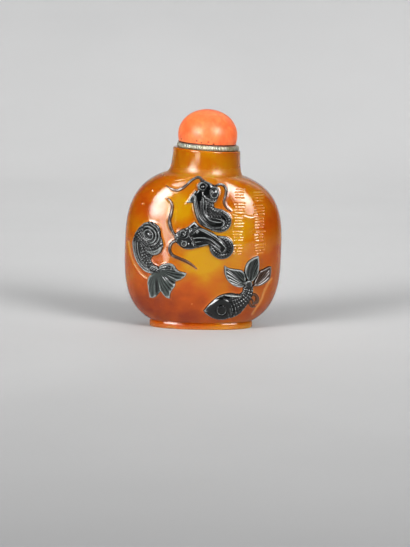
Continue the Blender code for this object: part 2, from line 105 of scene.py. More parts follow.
LEFT_EYE = (-15.6, 4.3)
LEFT_MOUTH = [
    [(-16.0, 7.9), (-15.1, 7.1), (-14.3, 6.6), (-13.3, 5.5)],
    [(-15.2, 8.1), (-14.4, 7.3), (-13.7, 6.9), (-12.9, 5.9)],
    [(-14.4, 8.1), (-13.8, 7.6), (-13.2, 7.2)],
]
LEFT_FIN = [(-16.0, -0.5, 0.3), (-14.6, -0.9, 0.8), (-13.2, -0.4, 0.85), (-12.3, 0.6, 0.5)]
TAIL_OUTLINE = [
    [(-14.6, -6.9), (-13.0, -5.2), (-12.3, -4.4), (-11.4, -3.9), (-10.1, -3.6), (-8.9, -3.8), (-8.1, -4.5),
     (-7.5, -5.4), (-6.4, -6.1), (-4.6, -6.5)],
    [(-4.6, -6.5), (-5.0, -7.6), (-6.2, -8.6), (-7.8, -9.3)],
    [(-7.8, -9.3), (-7.9, -10.6), (-8.8, -11.9), (-9.3, -13.1), (-9.4, -14.6)],
    [(-9.4, -14.6), (-10.6, -14.3), (-11.6, -13.3), (-12.2, -12.4)],
    [(-12.2, -12.4), (-12.7, -13.2), (-13.5, -14.1), (-14.5, -14.6), (-15.6, -14.5)],
    [(-15.6, -14.5), (-15.8, -13.1), (-16.1, -11.4), (-16.2, -9.7), (-15.8, -8.0), (-14.6, -6.9)],
]
TAIL_ROOT = (-13.6, -5.6)
TAIL_RIMS = [
    [(-12.6, -4.9, 0.3), (-11.4, -4.3, 0.42), (-9.9, -4.1, 0.42), (-8.6, -4.8, 0.37), (-7.6, -6.0, 0.3),
     (-5.3, -6.5, 0.12)],
    [(-12.3, -5.4, 0.25), (-11.2, -5.0, 0.3), (-9.9, -4.9, 0.3), (-8.7, -5.6, 0.2)],
    [(-12.2, -6.0, 0.2), (-11.2, -5.7, 0.28), (-10.0, -5.7, 0.25), (-9.0, -6.2, 0.15)],
]

RIGHT_OUTLINE = [
    [(0.2, -18.0), (1.1, -16.8), (2.1, -15.6), (3.3, -14.4), (4.7, -13.3), (6.4, -12.6), (8.2, -12.3),
     (9.9, -12.5), (11.1, -12.5), (11.7, -11.7), (11.8, -10.5), (12.3, -9.3), (13.4, -8.7), (14.5, -9.3),
     (15.0, -10.6), (15.0, -12.4), (14.6, -14.2), (13.6, -15.8), (12.5, -17.4), (11.2, -18.9), (9.2, -20.0),
     (7.2, -20.6), (4.8, -20.7), (2.8, -20.1), (1.3, -19.1), (0.2, -18.0)],
]
RIGHT_SPINE = [
    (0.3, -17.9, 0.3), (2.2, -17.4, 2.2), (4.8, -16.5, 3.8), (7.7, -15.8, 4.0), (10.6, -14.8, 3.2),
    (12.8, -12.5, 2.1), (13.5, -9.7, 1.4),
]
# Leaves of its tail: outline, middle vein and how brown it is, or below 0 how much painted grey sheen it
# gets
RIGHT_LEAVES = [
    ([[(6.3, -4.0), (7.5, -4.7), (8.9, -5.0), (10.3, -5.2), (11.5, -5.5), (12.3, -6.4), (12.7, -7.8),
       (12.7, -9.0), (12.4, -10.2), (11.3, -10.9)],
      [(11.3, -10.9), (9.9, -10.6), (8.4, -9.8), (7.2, -8.6), (6.5, -7.1), (6.2, -5.6), (6.3, -4.0)]],
     [(6.4, -4.3), (7.4, -5.3), (8.9, -6.5), (10.7, -8.0), (12.6, -9.5)], -0.4),
    ([[(16.3, -1.3), (15.1, -1.7), (13.8, -2.4), (12.7, -3.7), (12.2, -5.5), (12.3, -6.9), (13.0, -8.4),
       (13.9, -9.3), (14.9, -8.9)],
      [(14.9, -8.9), (15.9, -7.3), (16.4, -5.9), (16.6, -4.1), (16.5, -2.6), (16.3, -1.3)]],
     [(16.1, -1.6), (15.1, -3.3), (14.4, -5.2), (14.1, -7.0), (14.0, -9.3)], -0.4),
    ([[(20.0, -4.6), (19.1, -4.7), (17.8, -5.3), (16.4, -6.0), (15.7, -7.5), (15.0, -9.1), (14.8, -10.5)],
      [(14.8, -10.5), (16.4, -10.5), (17.8, -10.0), (18.9, -9.3), (19.7, -8.2), (20.0, -6.6),
       (20.0, -4.6)]],
     [(19.9, -4.9), (18.7, -6.4), (17.6, -7.9), (16.3, -9.1), (14.6, -10.1)], 0.3),
]
RIGHT_EYE = (5.7, -17.5)
RIGHT_CURLS = [
    [(14.1, -13.1, 0.4), (15.3, -13.0, 0.5), (16.2, -13.9, 0.62), (16.1, -15.3, 0.6), (15.0, -16.0, 0.35)],
    [(14.0, -13.6, 0.4), (13.9, -15.2, 0.45), (14.6, -16.7, 0.45), (15.6, -16.7, 0.3)],
    [(14.4, -14.2, 0.3), (14.9, -14.9, 0.36), (15.2, -15.8, 0.3)],
]
# Bar along its back, painted fully pale as a highlight
RIGHT_BAR = [(6.7, -12.9, 0.2), (8.6, -13.1, 0.36), (11.3, -13.3, 0.2)]

UPPER_BODY = [
    [(-3.4, 16.8), (-2.1, 17.8), (-0.6, 20.9), (0.5, 20.7), (1.2, 19.9), (2.2, 19.9), (3.4, 19.3),
     (4.4, 18.3), (4.5, 16.6), (3.9, 14.9), (3.1, 13.9), (3.4, 12.9), (4.8, 12.5), (6.3, 11.9), (7.6, 10.8),
     (8.3, 9.4), (8.1, 8.1), (7.4, 6.9), (6.2, 6.0), (4.5, 5.6), (2.8, 5.9), (0.8, 6.7), (-1.1, 7.8),
     (-2.1, 9.4), (-2.8, 11.4), (-3.2, 13.4), (-3.5, 15.2)],
]
# Tubes along a catfish's body: strip and height
UPPER_TUBES = [
    ([(-2.6, 16.0, 0.45), (-2.4, 14.1, 0.72), (-1.9, 11.8, 0.78), (-1.1, 9.8, 0.76),
      (0.3, 8.2, 0.74), (1.9, 7.2, 0.74), (3.7, 6.9, 0.7), (5.3, 7.3, 0.6), (6.0, 8.3, 0.46),
      (5.3, 9.2, 0.34), (3.7, 9.7, 0.2)], 1.15),
    ([(-0.2, 15.4, 0.46), (-0.1, 13.7, 0.8), (0.0, 11.9, 0.84), (0.6, 10.3, 0.78), (1.9, 9.2, 0.64),
      (3.5, 8.7, 0.56), (5.0, 8.6, 0.3)], 1.2),
]
UPPER_RIDGES = [
    [(-3.0, 15.7), (-2.75, 13.7), (-2.3, 11.5), (-1.5, 9.4), (0.2, 7.6), (2.2, 6.6)],
    [(0.2, 15.8), (0.9, 14.3), (0.8, 12.3), (1.1, 10.6), (2.5, 9.8), (5.0, 9.5)],
    [(-0.8, 14.6), (-0.75, 12.0), (-0.2, 10.0), (1.2, 8.7), (3.2, 8.2)],
]
UPPER_FIN = [
    (2.0, 13.0, 0.5), (3.4, 12.0, 0.9), (5.3, 11.4, 1.05), (6.8, 10.2, 1.1), (7.2, 8.6, 1.1),
    (6.4, 7.1, 1.05), (4.7, 6.4, 0.9), (2.8, 6.4, 0.5),
]
UPPER_FLAP = [
    [(-2.3, 18.2), (-3.4, 16.9), (-4.4, 15.3), (-5.3, 13.9)],
    [(-5.3, 13.9), (-4.3, 14.1), (-2.6, 14.1)],
    [(-2.6, 14.1), (-2.0, 16.0), (-2.3, 18.2)],
]
# Eyes: place and radius
UPPER_EYES = [((-0.4, 18.9), 1.6), ((3.0, 17.2), 1.45)]
UPPER_GILL = [(-0.1, 16.3), (1.0, 15.2), (2.2, 14.6), (3.5, 14.6)]
UPPER_BARBELS = [
    [(-0.5, 20.4, 0.45), (-1.0, 21.2, 0.4), (-1.9, 21.6, 0.34), (-3.5, 20.8, 0.32), (-5.3, 19.2, 0.36),
     (-6.8, 18.1, 0.42), (-8.1, 17.7, 0.42), (-9.7, 18.1, 0.34), (-11.2, 18.9, 0.12)],
    [(3.3, 19.1, 0.34), (4.6, 19.7, 0.34), (5.9, 19.2, 0.38), (6.5, 18.0, 0.42), (6.3, 16.4, 0.38),
     (5.9, 14.6, 0.34), (6.5, 13.1, 0.32), (8.1, 11.8, 0.12)],
]

LOWER_BODY = [
    [(-8.6, 4.4), (-8.0, 5.4), (-6.5, 6.5), (-5.0, 7.0), (-3.6, 8.1), (-2.6, 8.8), (-1.3, 7.6), (0.5, 6.6),
     (2.5, 5.8), (4.2, 4.8), (5.9, 4.7), (7.4, 4.0), (8.5, 3.0), (9.1, 1.6), (8.9, 0.1), (8.0, -1.1),
     (6.7, -1.9), (5.0, -2.2), (3.5, -1.7), (2.4, -0.5), (1.8, 0.9), (1.4, 1.7), (-0.1, 1.2), (-1.8, 0.8),
     (-3.5, 0.4), (-5.2, 0.4), (-6.6, 1.0), (-7.6, 1.9), (-8.6, 2.8)],
]
LOWER_TUBES = [
    ([(-2.4, 7.0, 0.5), (-1.2, 6.5, 0.7), (0.8, 5.7, 0.78), (2.9, 4.6, 0.78), (4.7, 3.3, 0.74),
      (6.1, 1.8, 0.6), (6.5, 0.6, 0.4), (5.6, -0.2, 0.2)], 1.1),
    ([(-3.0, 3.7, 0.5), (-1.4, 3.9, 0.56), (0.6, 3.8, 0.56), (2.3, 3.2, 0.55), (3.7, 2.1, 0.46),
      (5.0, 0.9, 0.25)], 1.15),
    ([(-2.8, 2.6, 0.5), (-1.2, 2.7, 0.52), (0.7, 2.7, 0.48), (2.2, 2.3, 0.42), (3.5, 1.2, 0.34),
      (4.6, 0.0, 0.2)], 1.08),
]
LOWER_RIDGES = [
    [(-1.4, 6.5), (0.5, 5.6), (2.4, 4.5), (4.3, 3.2), (5.9, 1.9), (6.8, 0.8), (6.4, -0.1), (5.4, -0.4)],
    [(-2.8, 3.9), (-1.3, 4.1), (0.6, 4.1), (2.1, 3.6), (3.4, 2.6), (4.9, 1.2)],
    [(-2.4, 2.7), (-0.9, 3.0), (0.9, 3.0), (2.5, 2.5), (3.8, 1.3), (5.0, -0.1)],
]
LOWER_BELLY = [(-3.8, 1.9, 1.2), (-1.8, 1.9, 0.95), (0.2, 2.0, 0.6), (1.6, 2.1, 0.25)]
LOWER_FIN = [
    (4.6, 4.4, 0.4), (6.6, 3.5, 1.0), (7.8, 2.1, 1.15), (7.9, 0.4, 1.15), (6.9, -0.9, 1.15),
    (5.1, -1.3, 1.1), (3.5, -0.5, 1.0), (2.6, 0.7, 0.8), (2.6, 1.7, 0.4),
]
# Eyes: place, radius and depth of the pupil
LOWER_EYES = [(-5.9, 5.2, 1.35, 0.2), (-5.5, 2.2, 1.2, 0.3)]
LOWER_RING = ((-5.6, 5.4), 1.62)
LOWER_COLLAR = [(-4.0, 4.3), (-3.2, 3.0), (-2.8, 1.7)]
LOWER_KNOBS = [(-3.3, 5.9, 1.15), (-1.8, 5.8, 0.75)]
LOWER_BARBELS = [
    [(-7.4, 4.0, 0.36), (-8.4, 4.7, 0.38), (-9.3, 6.0, 0.44), (-9.8, 7.3, 0.5), (-10.0, 9.0, 0.5),
     (-9.6, 10.7, 0.48), (-9.3, 12.4, 0.44), (-9.5, 14.0, 0.38), (-10.2, 14.9, 0.3), (-10.9, 15.4, 0.12)],
    [(-7.0, 2.9, 0.4), (-8.8, 2.6, 0.46), (-9.7, 1.3, 0.48), (-9.7, -0.2, 0.48), (-8.9, -1.4, 0.48),
     (-7.2, -2.2, 0.48), (-5.2, -3.0, 0.45), (-3.4, -4.0, 0.4), (-1.7, -5.3, 0.14)],
]

# Lines cut in the stone: the ledges where the ground round the goldfish was cut back, and scratches
LEDGES = [
    [(-22.4, 1.6), (-21.5, -2.3), (-20.4, -4.7), (-18.2, -7.4), (-16.4, -8.7)],
    [(20.6, -8.7), (19.4, -10.4), (18.2, -12.9), (17.6, -14.9), (16.0, -17.8), (15.0, -19.4)],
]
SCRATCHES = [
    [(8.6, 11.2), (10.6, 10.5), (12.2, 10.7), (14.0, 10.2), (17.9, 10.6)],
    [(-9.6, 20.1), (-6.0, 20.8), (-4.2, 21.4)],
]
LEDGE_CUT, SCRATCH_CUT = (0.24, 0.3), (0.06, 0.13)

# Small pits: place and width
PITS_IN_STONE = [(-15.2, 17.1, 0.26), (-17.9, 13.2, 0.26), (18.4, 2.0, 0.15), (-3.0, -16.0, 0.14)]
PIT_DEPTH = 0.24

# Soft swells left by hand between the figures: place, reach across and up, height. The stone is
# smoothest round one place.
SWELLS = [((-10.6, -4.2), 3.0, 5.5, 0.32), ((-2.0, -9.0), 8.0, 5.0, 0.08)]
SMOOTHEST = (11, 15)

# The two columns of strokes: middle at the top and at the bottom, and levels of both ends. A
# column has so many places, and a place has rows of strokes above and below its middle.
STROKE_COLUMNS = [(10.6, 10.2, 18.9, -1.5), (16.0, 16.9, 17.8, -1.3)]
STROKE_PLACES = 5
STROKE_ROWS = (1.4, 0.55, -0.3, -1.15)
STROKE_DEPTH, STROKE_WIDTH = 0.14, 0.14

# Where the stone is yellower, or deeper orange below 0: place, reach and weight
# The last two clouds, on the shoulders, are the stone's tone with painted light on their tops.
CLOUDS = [
    ((-6.0, 36.5), 4.2, 0.5), ((-0.5, 21.5), 4.8, 0.6), ((10.5, 29.0), 6.0, 0.45), ((3.5, 28.0), 6.0, 0.2),
    ((-8.0, 15.5), 6.0, 0.12), ((-14.0, 8.0), 9.0, -0.28), ((15.0, 10.0), 7.0, -0.1),
    ((1.0, 49.0), 8.0, 0.28), ((-5.0, 0.0), 9.0, -0.25), ((-11.0, 41.0), 6.0, 0.16),
    ((12.0, 41.0), 6.0, 0.1),
]

# Worm holes in the coral: turn round the dome, level and width
PITS_IN_CORAL = [
    (-1.95, 2.6, 0.24), (-1.78, 2.2, 0.2), (-1.54, 2.5, 0.24), (-1.35, 2.0, 0.26), (0.7, 2.9, 0.2),
    (2.4, 3.6, 0.2), (3.6, 2.6, 0.22), (-2.9, 4.4, 0.16), (-0.35, 6.4, 0.14), (1.4, 8.1, 0.14),
]
CORAL_PIT_DEPTH = 0.2

# Floor: its front edge, where it begins to sweep up and how wide, its top and half its width
FLOOR_FRONT, SWEEP_START, SWEEP_RADIUS, FLOOR_TOP, FLOOR_HALF = -1400.0, 420.0, 320.0, 1400.0, 1500.0
FLOOR_COLOUR = (0.46, 0.46, 0.46)
WORLD_COLOUR, WORLD_STRENGTH = (0.92, 0.95, 1.0, 1), 0.07

# Soft lights: azimuth, elevation, distance, width, height, power, spread and the point they face,
# which is the bottle's middle unless it is given. Metres, watts and degrees.
BOTTLE_MIDDLE = (0, 0, 0.03)
SOFTBOXES = {
    "softbox_left": (-42, 20, 0.8, 0.44, 0.56, 0.9, 42),
    "softbox_right": (39, 24, 0.75, 0.4, 0.46, 0.62, 42),
    "softbox_low": (-29, -1.6, 0.14, 0.04, 0.05, 0.0034, 60),
    "softbox_top": (12, 60, 0.9, 1.0, 0.7, 0.8, 110),
    "softbox_behind": (180, 68, 0.85, 1.2, 0.4, 2.4, 90, (0, 0.62, 0.03)),
    "softbox_back": (158, 38, 0.9, 1.2, 1.0, 0.7, 90),
}


def section(level, inset=0.0):
    """The stone's middle, half width, half depth and tilt at these levels."""
    level = np.asarray(level, float)
    above = level > WIDEST
    reach, square, end = (np.where(above, upper, lower) for upper, lower in zip(UPPER, LOWER))
    share = np.minimum(np.abs(level - WIDEST) / (reach - inset), 0.9999)
    width = (HALF_WIDTH - inset) * (1 - share**square) ** (1 / square)
    end = end - inset
    depth = end + (HALF_DEPTH - inset - end) * np.sqrt(1 - share**2)
    middle = math.tan(LEAN) * (level - WIDEST)
    return middle, width, depth, np.where(above, SHOULDER_TILT * share**2, 0.0)


def front(x, z):
    """Y of the stone's front at (x, z)."""
    level = z
    for _ in range(4):
        middle, width, depth, tilt = section(level)
        level = z + (x - middle) * np.tan(tilt)
    across = np.minimum(np.abs(x - middle) / width, 0.995)
    return SET_BACK - depth * (1 - across**SECTION) ** (1 / SECTION)


def on_front(u, v, rise):
    """Points of the sheet at (u, v), this far out of the stone's front."""
    x, z, step = u, WIDEST + v, 0.05
    slope_x = (front(x + step, z) - front(x - step, z)) / (2 * step)
    slope_z = (front(x, z + step) - front(x, z - step)) / (2 * step)
    out = np.stack([slope_x, -np.ones_like(slope_x), slope_z], -1)
    out /= np.linalg.norm(out, axis=-1, keepdims=True)
    return np.stack([x, front(x, z), z], -1) + rise[..., None] * out


def smooth_path(points, step=0.12):
    """Close points on a smooth curve through the given ones."""
    known = np.array(points, float)
    known = np.vstack([2 * known[0] - known[1], known, 2 * known[-1] - known[-2]])
    path = []
    for a, b, c, d in zip(known, known[1:], known[2:], known[3:]):
        count = max(int(np.linalg.norm((c - b)[:2]) / step), 2)
        t = np.linspace(0, 1, count, endpoint=False)[:, None]
        path.append(0.5 * (2 * b + (c - a) * t + (2 * a - 5 * b + 4 * c - d) * t**2
                           + (3 * b - a - 3 * c + d) * t**3))
    path.append(known[-2:-1])
    return np.vstack(path)


def line(distance, width):
    """1 on a line, falling smoothly to 0 beyond this width."""
    return np.exp(-((distance / width) ** 2))


def lines(place, pitch, width):
    """1 on every one of a set of even lines."""
    return line((place / pitch - np.round(place / pitch)) * pitch, width)


def ramp(value, low, high):
    """0 up to low, 1 from high, and smooth in between."""
    share = np.clip((value - low) / (high - low), 0, 1)
    return share * share * (3 - 2 * share)


def waves(seed, length, *place):
    """Smooth unevenness of about -1 to 1, with humps of about this length."""
    random = np.random.default_rng(seed)
    total = 0.0
    for _ in range(8):
        way = random.normal(size=len(place))
        way *= 2 * math.pi / (length * random.uniform(0.7, 1.6) * np.linalg.norm(way))
        total = total + np.sin(sum(w * p for w, p in zip(way, place)) + random.uniform(0, 6.28))
    return total / 3.4


def blurred(values, reach):
    """Values averaged over a square of this reach each way, three times."""
    for _ in range(3):
        for axis in (0, 1):
            wide = np.concatenate([np.repeat(values.take([0], axis), reach + 1, axis), values,
                                   np.repeat(values.take([-1], axis), reach, axis)], axis)
            total = wide.cumsum(axis)
            count = values.shape[axis]
            ends = np.arange(count)
            values = (total.take(ends + 2 * reach + 1, axis) - total.take(ends, axis)) / (2 * reach + 1)
    return values


def window_of(carving, low, high):
    """The part of a carving's grid between two corners."""
    columns = slice(*np.searchsorted(carving.u[0], (low[0], high[0])))
    rows = slice(*np.searchsorted(carving.v[:, 0], (low[1], high[1])))
    return rows, columns


class Outline:
    """Where the points of a carving lie against a closed outline."""

    def __init__(self, carving, runs):
        path = np.vstack([smooth_path(run, 0.2)[:-1] for run in runs])
        self.window = window_of(carving, path.min(0) - MARGIN, path.max(0) + MARGIN)
        self.u, self.v = carving.u[self.window], carving.v[self.window]
        nearest = np.full(self.u.shape, np.inf)
        inside = np.zeros(self.u.shape, bool)
        for (u1, v1), (u2, v2) in zip(path, np.roll(path, -1, axis=0)):
            du, dv = u2 - u1, v2 - v1
            share = np.clip(((self.u - u1) * du + (self.v - v1) * dv) / (du * du + dv * dv + 1e-12), 0, 1)
            nearest = np.minimum(nearest, np.hypot(self.u - u1 - share * du, self.v - v1 - share * dv))
            if v1 != v2:
                crossing = ((v1 > self.v) != (v2 > self.v)) & (self.u < du * (self.v - v1) / dv + u1)
                inside ^= crossing
        self.outside = np.where(inside, -nearest, nearest)

    def dome(self, height, edge, reach):
        """A crown that rises from its edge over this reach."""
        share = np.clip(1 + self.outside / reach, 0, 1)
        return height * (edge + (1 - edge) * (1 - share**2.2))


class Strip:
    """Where the points of a carving lie along a smooth strip."""

    def __init__(self, carving, points, window=None):
        path = smooth_path([tuple(p) + (0.0,) * (3 - len(p)) for p in points])
        reach = path[:, 2].max() + MARGIN
        low, high = path[:, :2].min(0) - reach, path[:, :2].max(0) + reach
        self.window = window or window_of(carving, low, high)
        self.u, self.v = carving.u[self.window], carving.v[self.window]
        du = self.u[..., None] - path[:, 0]
        dv = self.v[..., None] - path[:, 1]
        distance = np.hypot(du, dv)
        edges = distance - path[:, 2]
        widest = edges.argmin(-1)[..., None]
        self.outside = np.take_along_axis(edges, widest, -1)[..., 0]
        half = np.maximum(path[widest[..., 0], 2], 0.05)
        self.crown = np.clip(1 + self.outside / half, 0, 1)
        nearest = distance.argmin(-1)
        way = np.gradient(path[:, :2], axis=0)
        way /= np.linalg.norm(way, axis=1, keepdims=True)
        pick = nearest[..., None]
        self.distance = np.take_along_axis(distance, pick, -1)[..., 0]
        turn = (way[nearest, 0] * np.take_along_axis(dv, pick, -1)[..., 0]
                - way[nearest, 1] * np.take_along_axis(du, pick, -1)[..., 0])
        self.offset = np.copysign(self.distance, turn)
        self.side = self.offset / np.maximum(path[nearest, 2], 0.05)
        runs = np.concatenate([[0], np.cumsum(np.linalg.norm(np.diff(path[:, :2], axis=0), axis=1))])
        self.run, self.length = runs[nearest], runs[-1]

    def dome(self, height, edge=0.5, power=2.4):
        """A crown over the strip's width."""
        return height * (edge + (1 - edge) * (1 - self.crown**power))


class Carving:
    """One figure, as heights in millimetres over a fine grid on the sheet."""

    def __init__(self, left, right, low, high):
        self.u, self.v = np.meshgrid(np.arange(left, right, PITCH), np.arange(low, high, PITCH))
        self.height = np.full(self.u.shape, NOTHING)
        self.clear = np.full(self.u.shape, FAR)
        self.brown = np.zeros(self.u.shape)

    def add(self, window, outside, height, brown=0.0):
        """Joins on a part with this height inside its edge and a steep wall outside."""
        outside = outside + WALL_INSET
        height = height - WALL_SLOPE * np.maximum(outside, 0)
        here = self.height[window]
        self.brown[window] = np.where(height > here, brown, self.brown[window])
        self.height[window] = np.maximum(here, height)
        self.clear[window] = np.minimum(self.clear[window], outside)

    def join(self, part, height, brown=0.0):
        """Joins on an outline's or a strip's form."""
        self.add(part.window, part.outside, height, brown)

    def strip(self, points, height, edge=0.5, power=2.4, brown=0.0):
        """Joins on a plain domed strip."""
        part = Strip(self, points)
        self.join(part, part.dome(height, edge, power), brown)

    def score(self, points, depth, width):
        """Cuts a groove along a path, or lifts a ridge where the depth is below 0."""
        part = Strip(self, points)
        self.height[part.window] -= depth * line(part.distance, width)

    def barbel(self, points):
        """A thin feeler, flat on top with a shallow line along it, browner towards its tip."""
        part = Strip(self, [(u, v, half + 0.12) for u, v, half in points])
        height = part.dome(0.72, 0.55) - 0.1 * line(part.offset, 0.14) + 0.05 * np.sin(part.run * 1.9)
        brown = 0.25 + 0.75 * ramp(part.run / part.length, 0.35, 0.95)
        self.join(part, height * (1 - 0.35 * ramp(part.run, 0.5 * part.length, part.length)), brown)

    def bulge(self, place, radius, foot, rise, rings=(), pupil=0.0, tall=1.0):
        """Joins on a round or tall eye: rings are (share of the radius, height of the ridge)."""
        distance = np.hypot(self.u - place[0], (self.v - place[1]) / tall)
        share = np.clip(distance / radius, 0, 1)
        height = foot + rise * np.sqrt(1 - 0.98 * share**2)
        for at, lift in rings:
            height += lift * line(share - at, 0.1)
        height -= pupil * line(share, 0.2)
        near = distance < radius + 1.0
        self.add(near, (distance - radius)[near], height[near])

    def ribbed(self, points, height):
        """Joins on a fin with soft uneven ribs across it and a plain inner margin."""
        part = Strip(self, points)
        rib = lines(part.run + 0.1 * np.sin(part.run * 1.3), RIB_PITCH, 0.2)
        uneven = 0.65 + 0.35 * np.sin(part.run * 0.9 + part.side)
        top = part.dome(height, 0.4, 2.4)
        top = top - RIB_DEPTH * uneven * rib * ramp(part.side, -1.1, -0.5) * ramp(-part.side, -0.6, -0.1)
        top = top - 0.14 * line(part.side - 0.55, 0.16)
        self.join(part, top)


def left_goldfish():
    """The goldfish that swims up, with rings round its eye and scales down its body."""
    fish = Carving(-22.4, -3.0, -16.4, 10.0)
    tail(fish)
    body = Outline(fish, LEFT_OUTLINE)
    spine = Strip(fish, LEFT_SPINE, window=body.window)
    top = body.dome(1.2, 0.42, 3.0)
    du, dv = body.u - LEFT_EYE[0], body.v - LEFT_EYE[1]
    ring = np.hypot(du + 0.14 * dv, 0.88 * dv)
    ring = ring + 0.12 * np.sin(np.arctan2(dv, du) + 2.2) * ramp(ring, 0.6, 1.4)
    inset = -body.outside
    back = ramp(-spine.side, -0.05, 0.1) * ramp(spine.run, 5.5, 7.0) * (1 - ramp(inset, 2.5, 2.7))
    right = ramp(du + 0.4 * dv, -1.2, 0.3)
    scaly = ramp(ring + 1.1 * (1 - right), 2.85, 3.1) * (1 - back) * ramp(-body.v - 0.9 * du, -6.5, -5.0)
    coarse = ramp(spine.run, 7.5, 9.0)
    for turn in (-1, 1):
        across = 0.77 * spine.run + turn * 0.64 * spine.offset
        top -= 0.14 * scaly * (1 - coarse) * lines(across, 0.66, 0.15)
        top -= 0.17 * scaly * coarse * lines(across, 0.85, 0.18)
    for at in (0.75, 1.55, 2.35):
        top -= 0.42 * back * line(inset - at, 0.24)
    low_right = ramp(0.75 * du - dv, -0.8, 0.6) * (1 - ramp(-du - 0.3 * dv, 1.0, 2.4))
    upper_right = ramp(0.8 * du + dv, -0.6, 0.8)
    for at, lift, width, part in ((1.25, 0.22, 0.2, 1), (1.66, -0.28, 0.18, 1), (2.08, 0.26, 0.2, right),
                                  (2.52, -0.26, 0.18, right), (2.9, 0.2, 0.2, upper_right),
                                  (3.2, -0.26, 0.17, low_right), (3.65, 0.14, 0.2, low_right)):
        top += lift * line(ring - at, width) * part
    top += np.where(ring < 0.8, 0.34 * np.sqrt(np.clip(1 - (ring / 0.8) ** 2, 0, 1)), 0)
    top -= 0.12 * line(ring - 0.88, 0.12)
    fish.join(body, top)
    for path in LEFT_MOUTH:
        fish.score(path, 0.3, 0.19)
    fin = Strip(fish, LEFT_FIN)
    # The fin is pale: a painted grey sheen.
    fish.join(fin, fin.dome(1.3, 0.75) - 0.1 * lines(fin.run - 0.5 * fin.offset, 0.5, 0.13), -0.5)
    knot = Strip(fish, [(-14.8, -5.3, 0.9), (-13.6, -5.7, 1.0), (-13.0, -6.1, 0.7)])
    bumps = 0.1 * np.sin(knot.u * 8) * np.sin(knot.v * 8 + knot.u)
    fish.join(knot, knot.dome(1.25, 0.6) + bumps)
    return fish


def tail(fish):
    """The left goldfish's spread tail, fluted along its rays and split into three lobes."""
    part = Outline(fish, TAIL_OUTLINE)
    du, dv = part.u - TAIL_ROOT[0], part.v - TAIL_ROOT[1]
    far = np.hypot(du, dv)
    turn = np.degrees(np.arctan2(dv, du))
    turn = np.where(turn > 120, turn - 360, turn)
    height = part.dome(1.0 - 0.025 * far, 0.55, 0.7)
    bend = turn + 6 * np.sin(far * 0.5) + 2 * far
    flute = 0.1 + 0.08 * ramp(turn, -80, -50)
    height -= flute * lines(bend, 8.5, 2.2) * ramp(far, 1.0, 2.4) * ramp(-part.outside, 0.15, 0.5)
    for split, swing in ((-36, 1.2), (-86, 0.4)):
        valley = np.radians(turn - split - swing * (far - 7)) * far
        height -= 0.36 * line(valley, 0.25 + 0.04 * far) * ramp(far, 2.0, 5.0)
        height += 0.12 * line(valley - 0.7 - 0.05 * far, 0.3) * ramp(far, 2.5, 5.0)
    # The tail is pale: a painted grey sheen.
    fish.join(part, height, -0.8)
    for rim, lift in zip(TAIL_RIMS, (1.08, 1.02, 0.98)):
        fish.strip(rim, lift, 0.6)


def right_goldfish():
    """The goldfish that swims down, with a tail of three leaves and curled lower fins."""
    fish = Carving(-1.6, 21.8, -22.2, 0.2)
    for runs, vein, brown in RIGHT_LEAVES:
        leaf = Outline(fish, runs)
        along = Strip(fish, vein, window=leaf.window)
        fan = along.offset / (0.35 + 0.3 * np.maximum(along.length - along.run, 0) ** 0.75)
        height = leaf.dome(0.92, 0.6, 0.8) + 0.16 * line(leaf.outside + 0.3, 0.22)
        height -= 0.26 * line(along.offset, 0.16) * ramp(along.run, 0.4, 1.2)
        height -= 0.15 * lines(fan + 0.28, 0.56, 0.13) * ramp(-leaf.outside, 0.4, 0.8)
        height -= 0.1 * ramp(along.length - along.run, 1.5, 0.0)
        fish.join(leaf, height, brown)
    for curl in RIGHT_CURLS:
        fish.strip(curl, 0.62, 0.5, brown=0.75)
    body = Outline(fish, RIGHT_OUTLINE)
    spine = Strip(fish, RIGHT_SPINE, window=body.window)
    top = body.dome(1.25, 0.4, 2.6)
    ring = np.hypot(body.u - RIGHT_EYE[0], body.v - RIGHT_EYE[1])
    rear = ramp(body.u - 0.25 * body.v, 11.4, 12.6)
    lap = spine.run + 0.4 * np.abs(((spine.offset / 1.1) % 1) - 0.5)
    top -= 0.18 * rear * lines(lap, 0.74, 0.17)
    top -= 0.12 * rear * lines(spine.offset, 1.1, 0.15)
    top -= 0.24 * line(ring - 3.6, 0.2) * ramp(body.u, 5.4, 6.8)
    top -= 0.28 * (1 - ramp(ring, 1.6, 2.7))
    low_side = 1 - 0.36 * ramp(body.v - RIGHT_EYE[1], -0.4, 1.0)
    top += low_side * (0.24 * line(ring - 1.2, 0.27) - 0.14 * line(ring - 1.8, 0.2))
    top += 0.2 * np.sqrt(np.clip(1 - (ring / 0.8) ** 2, 0, 1))
    top -= 0.14 * line(spine.side - 0.62, 0.08) * ramp(spine.run, 1.5, 4.0) * (1 - ramp(spine.run, 9.5, 11))
    fish.join(body, top)
    fish.score([(0.4, -18.1), (1.8, -18.4), (3.0, -19.0)], 0.25, 0.18)
    # The bar along the back is fully pale: a painted highlight along its ridge.
    fish.strip(RIGHT_BAR, 1.45, 0.8, brown=-1.0)
    fish.bulge((13.4, -9.6), 1.2, 0.85, 0.5)
    return fish


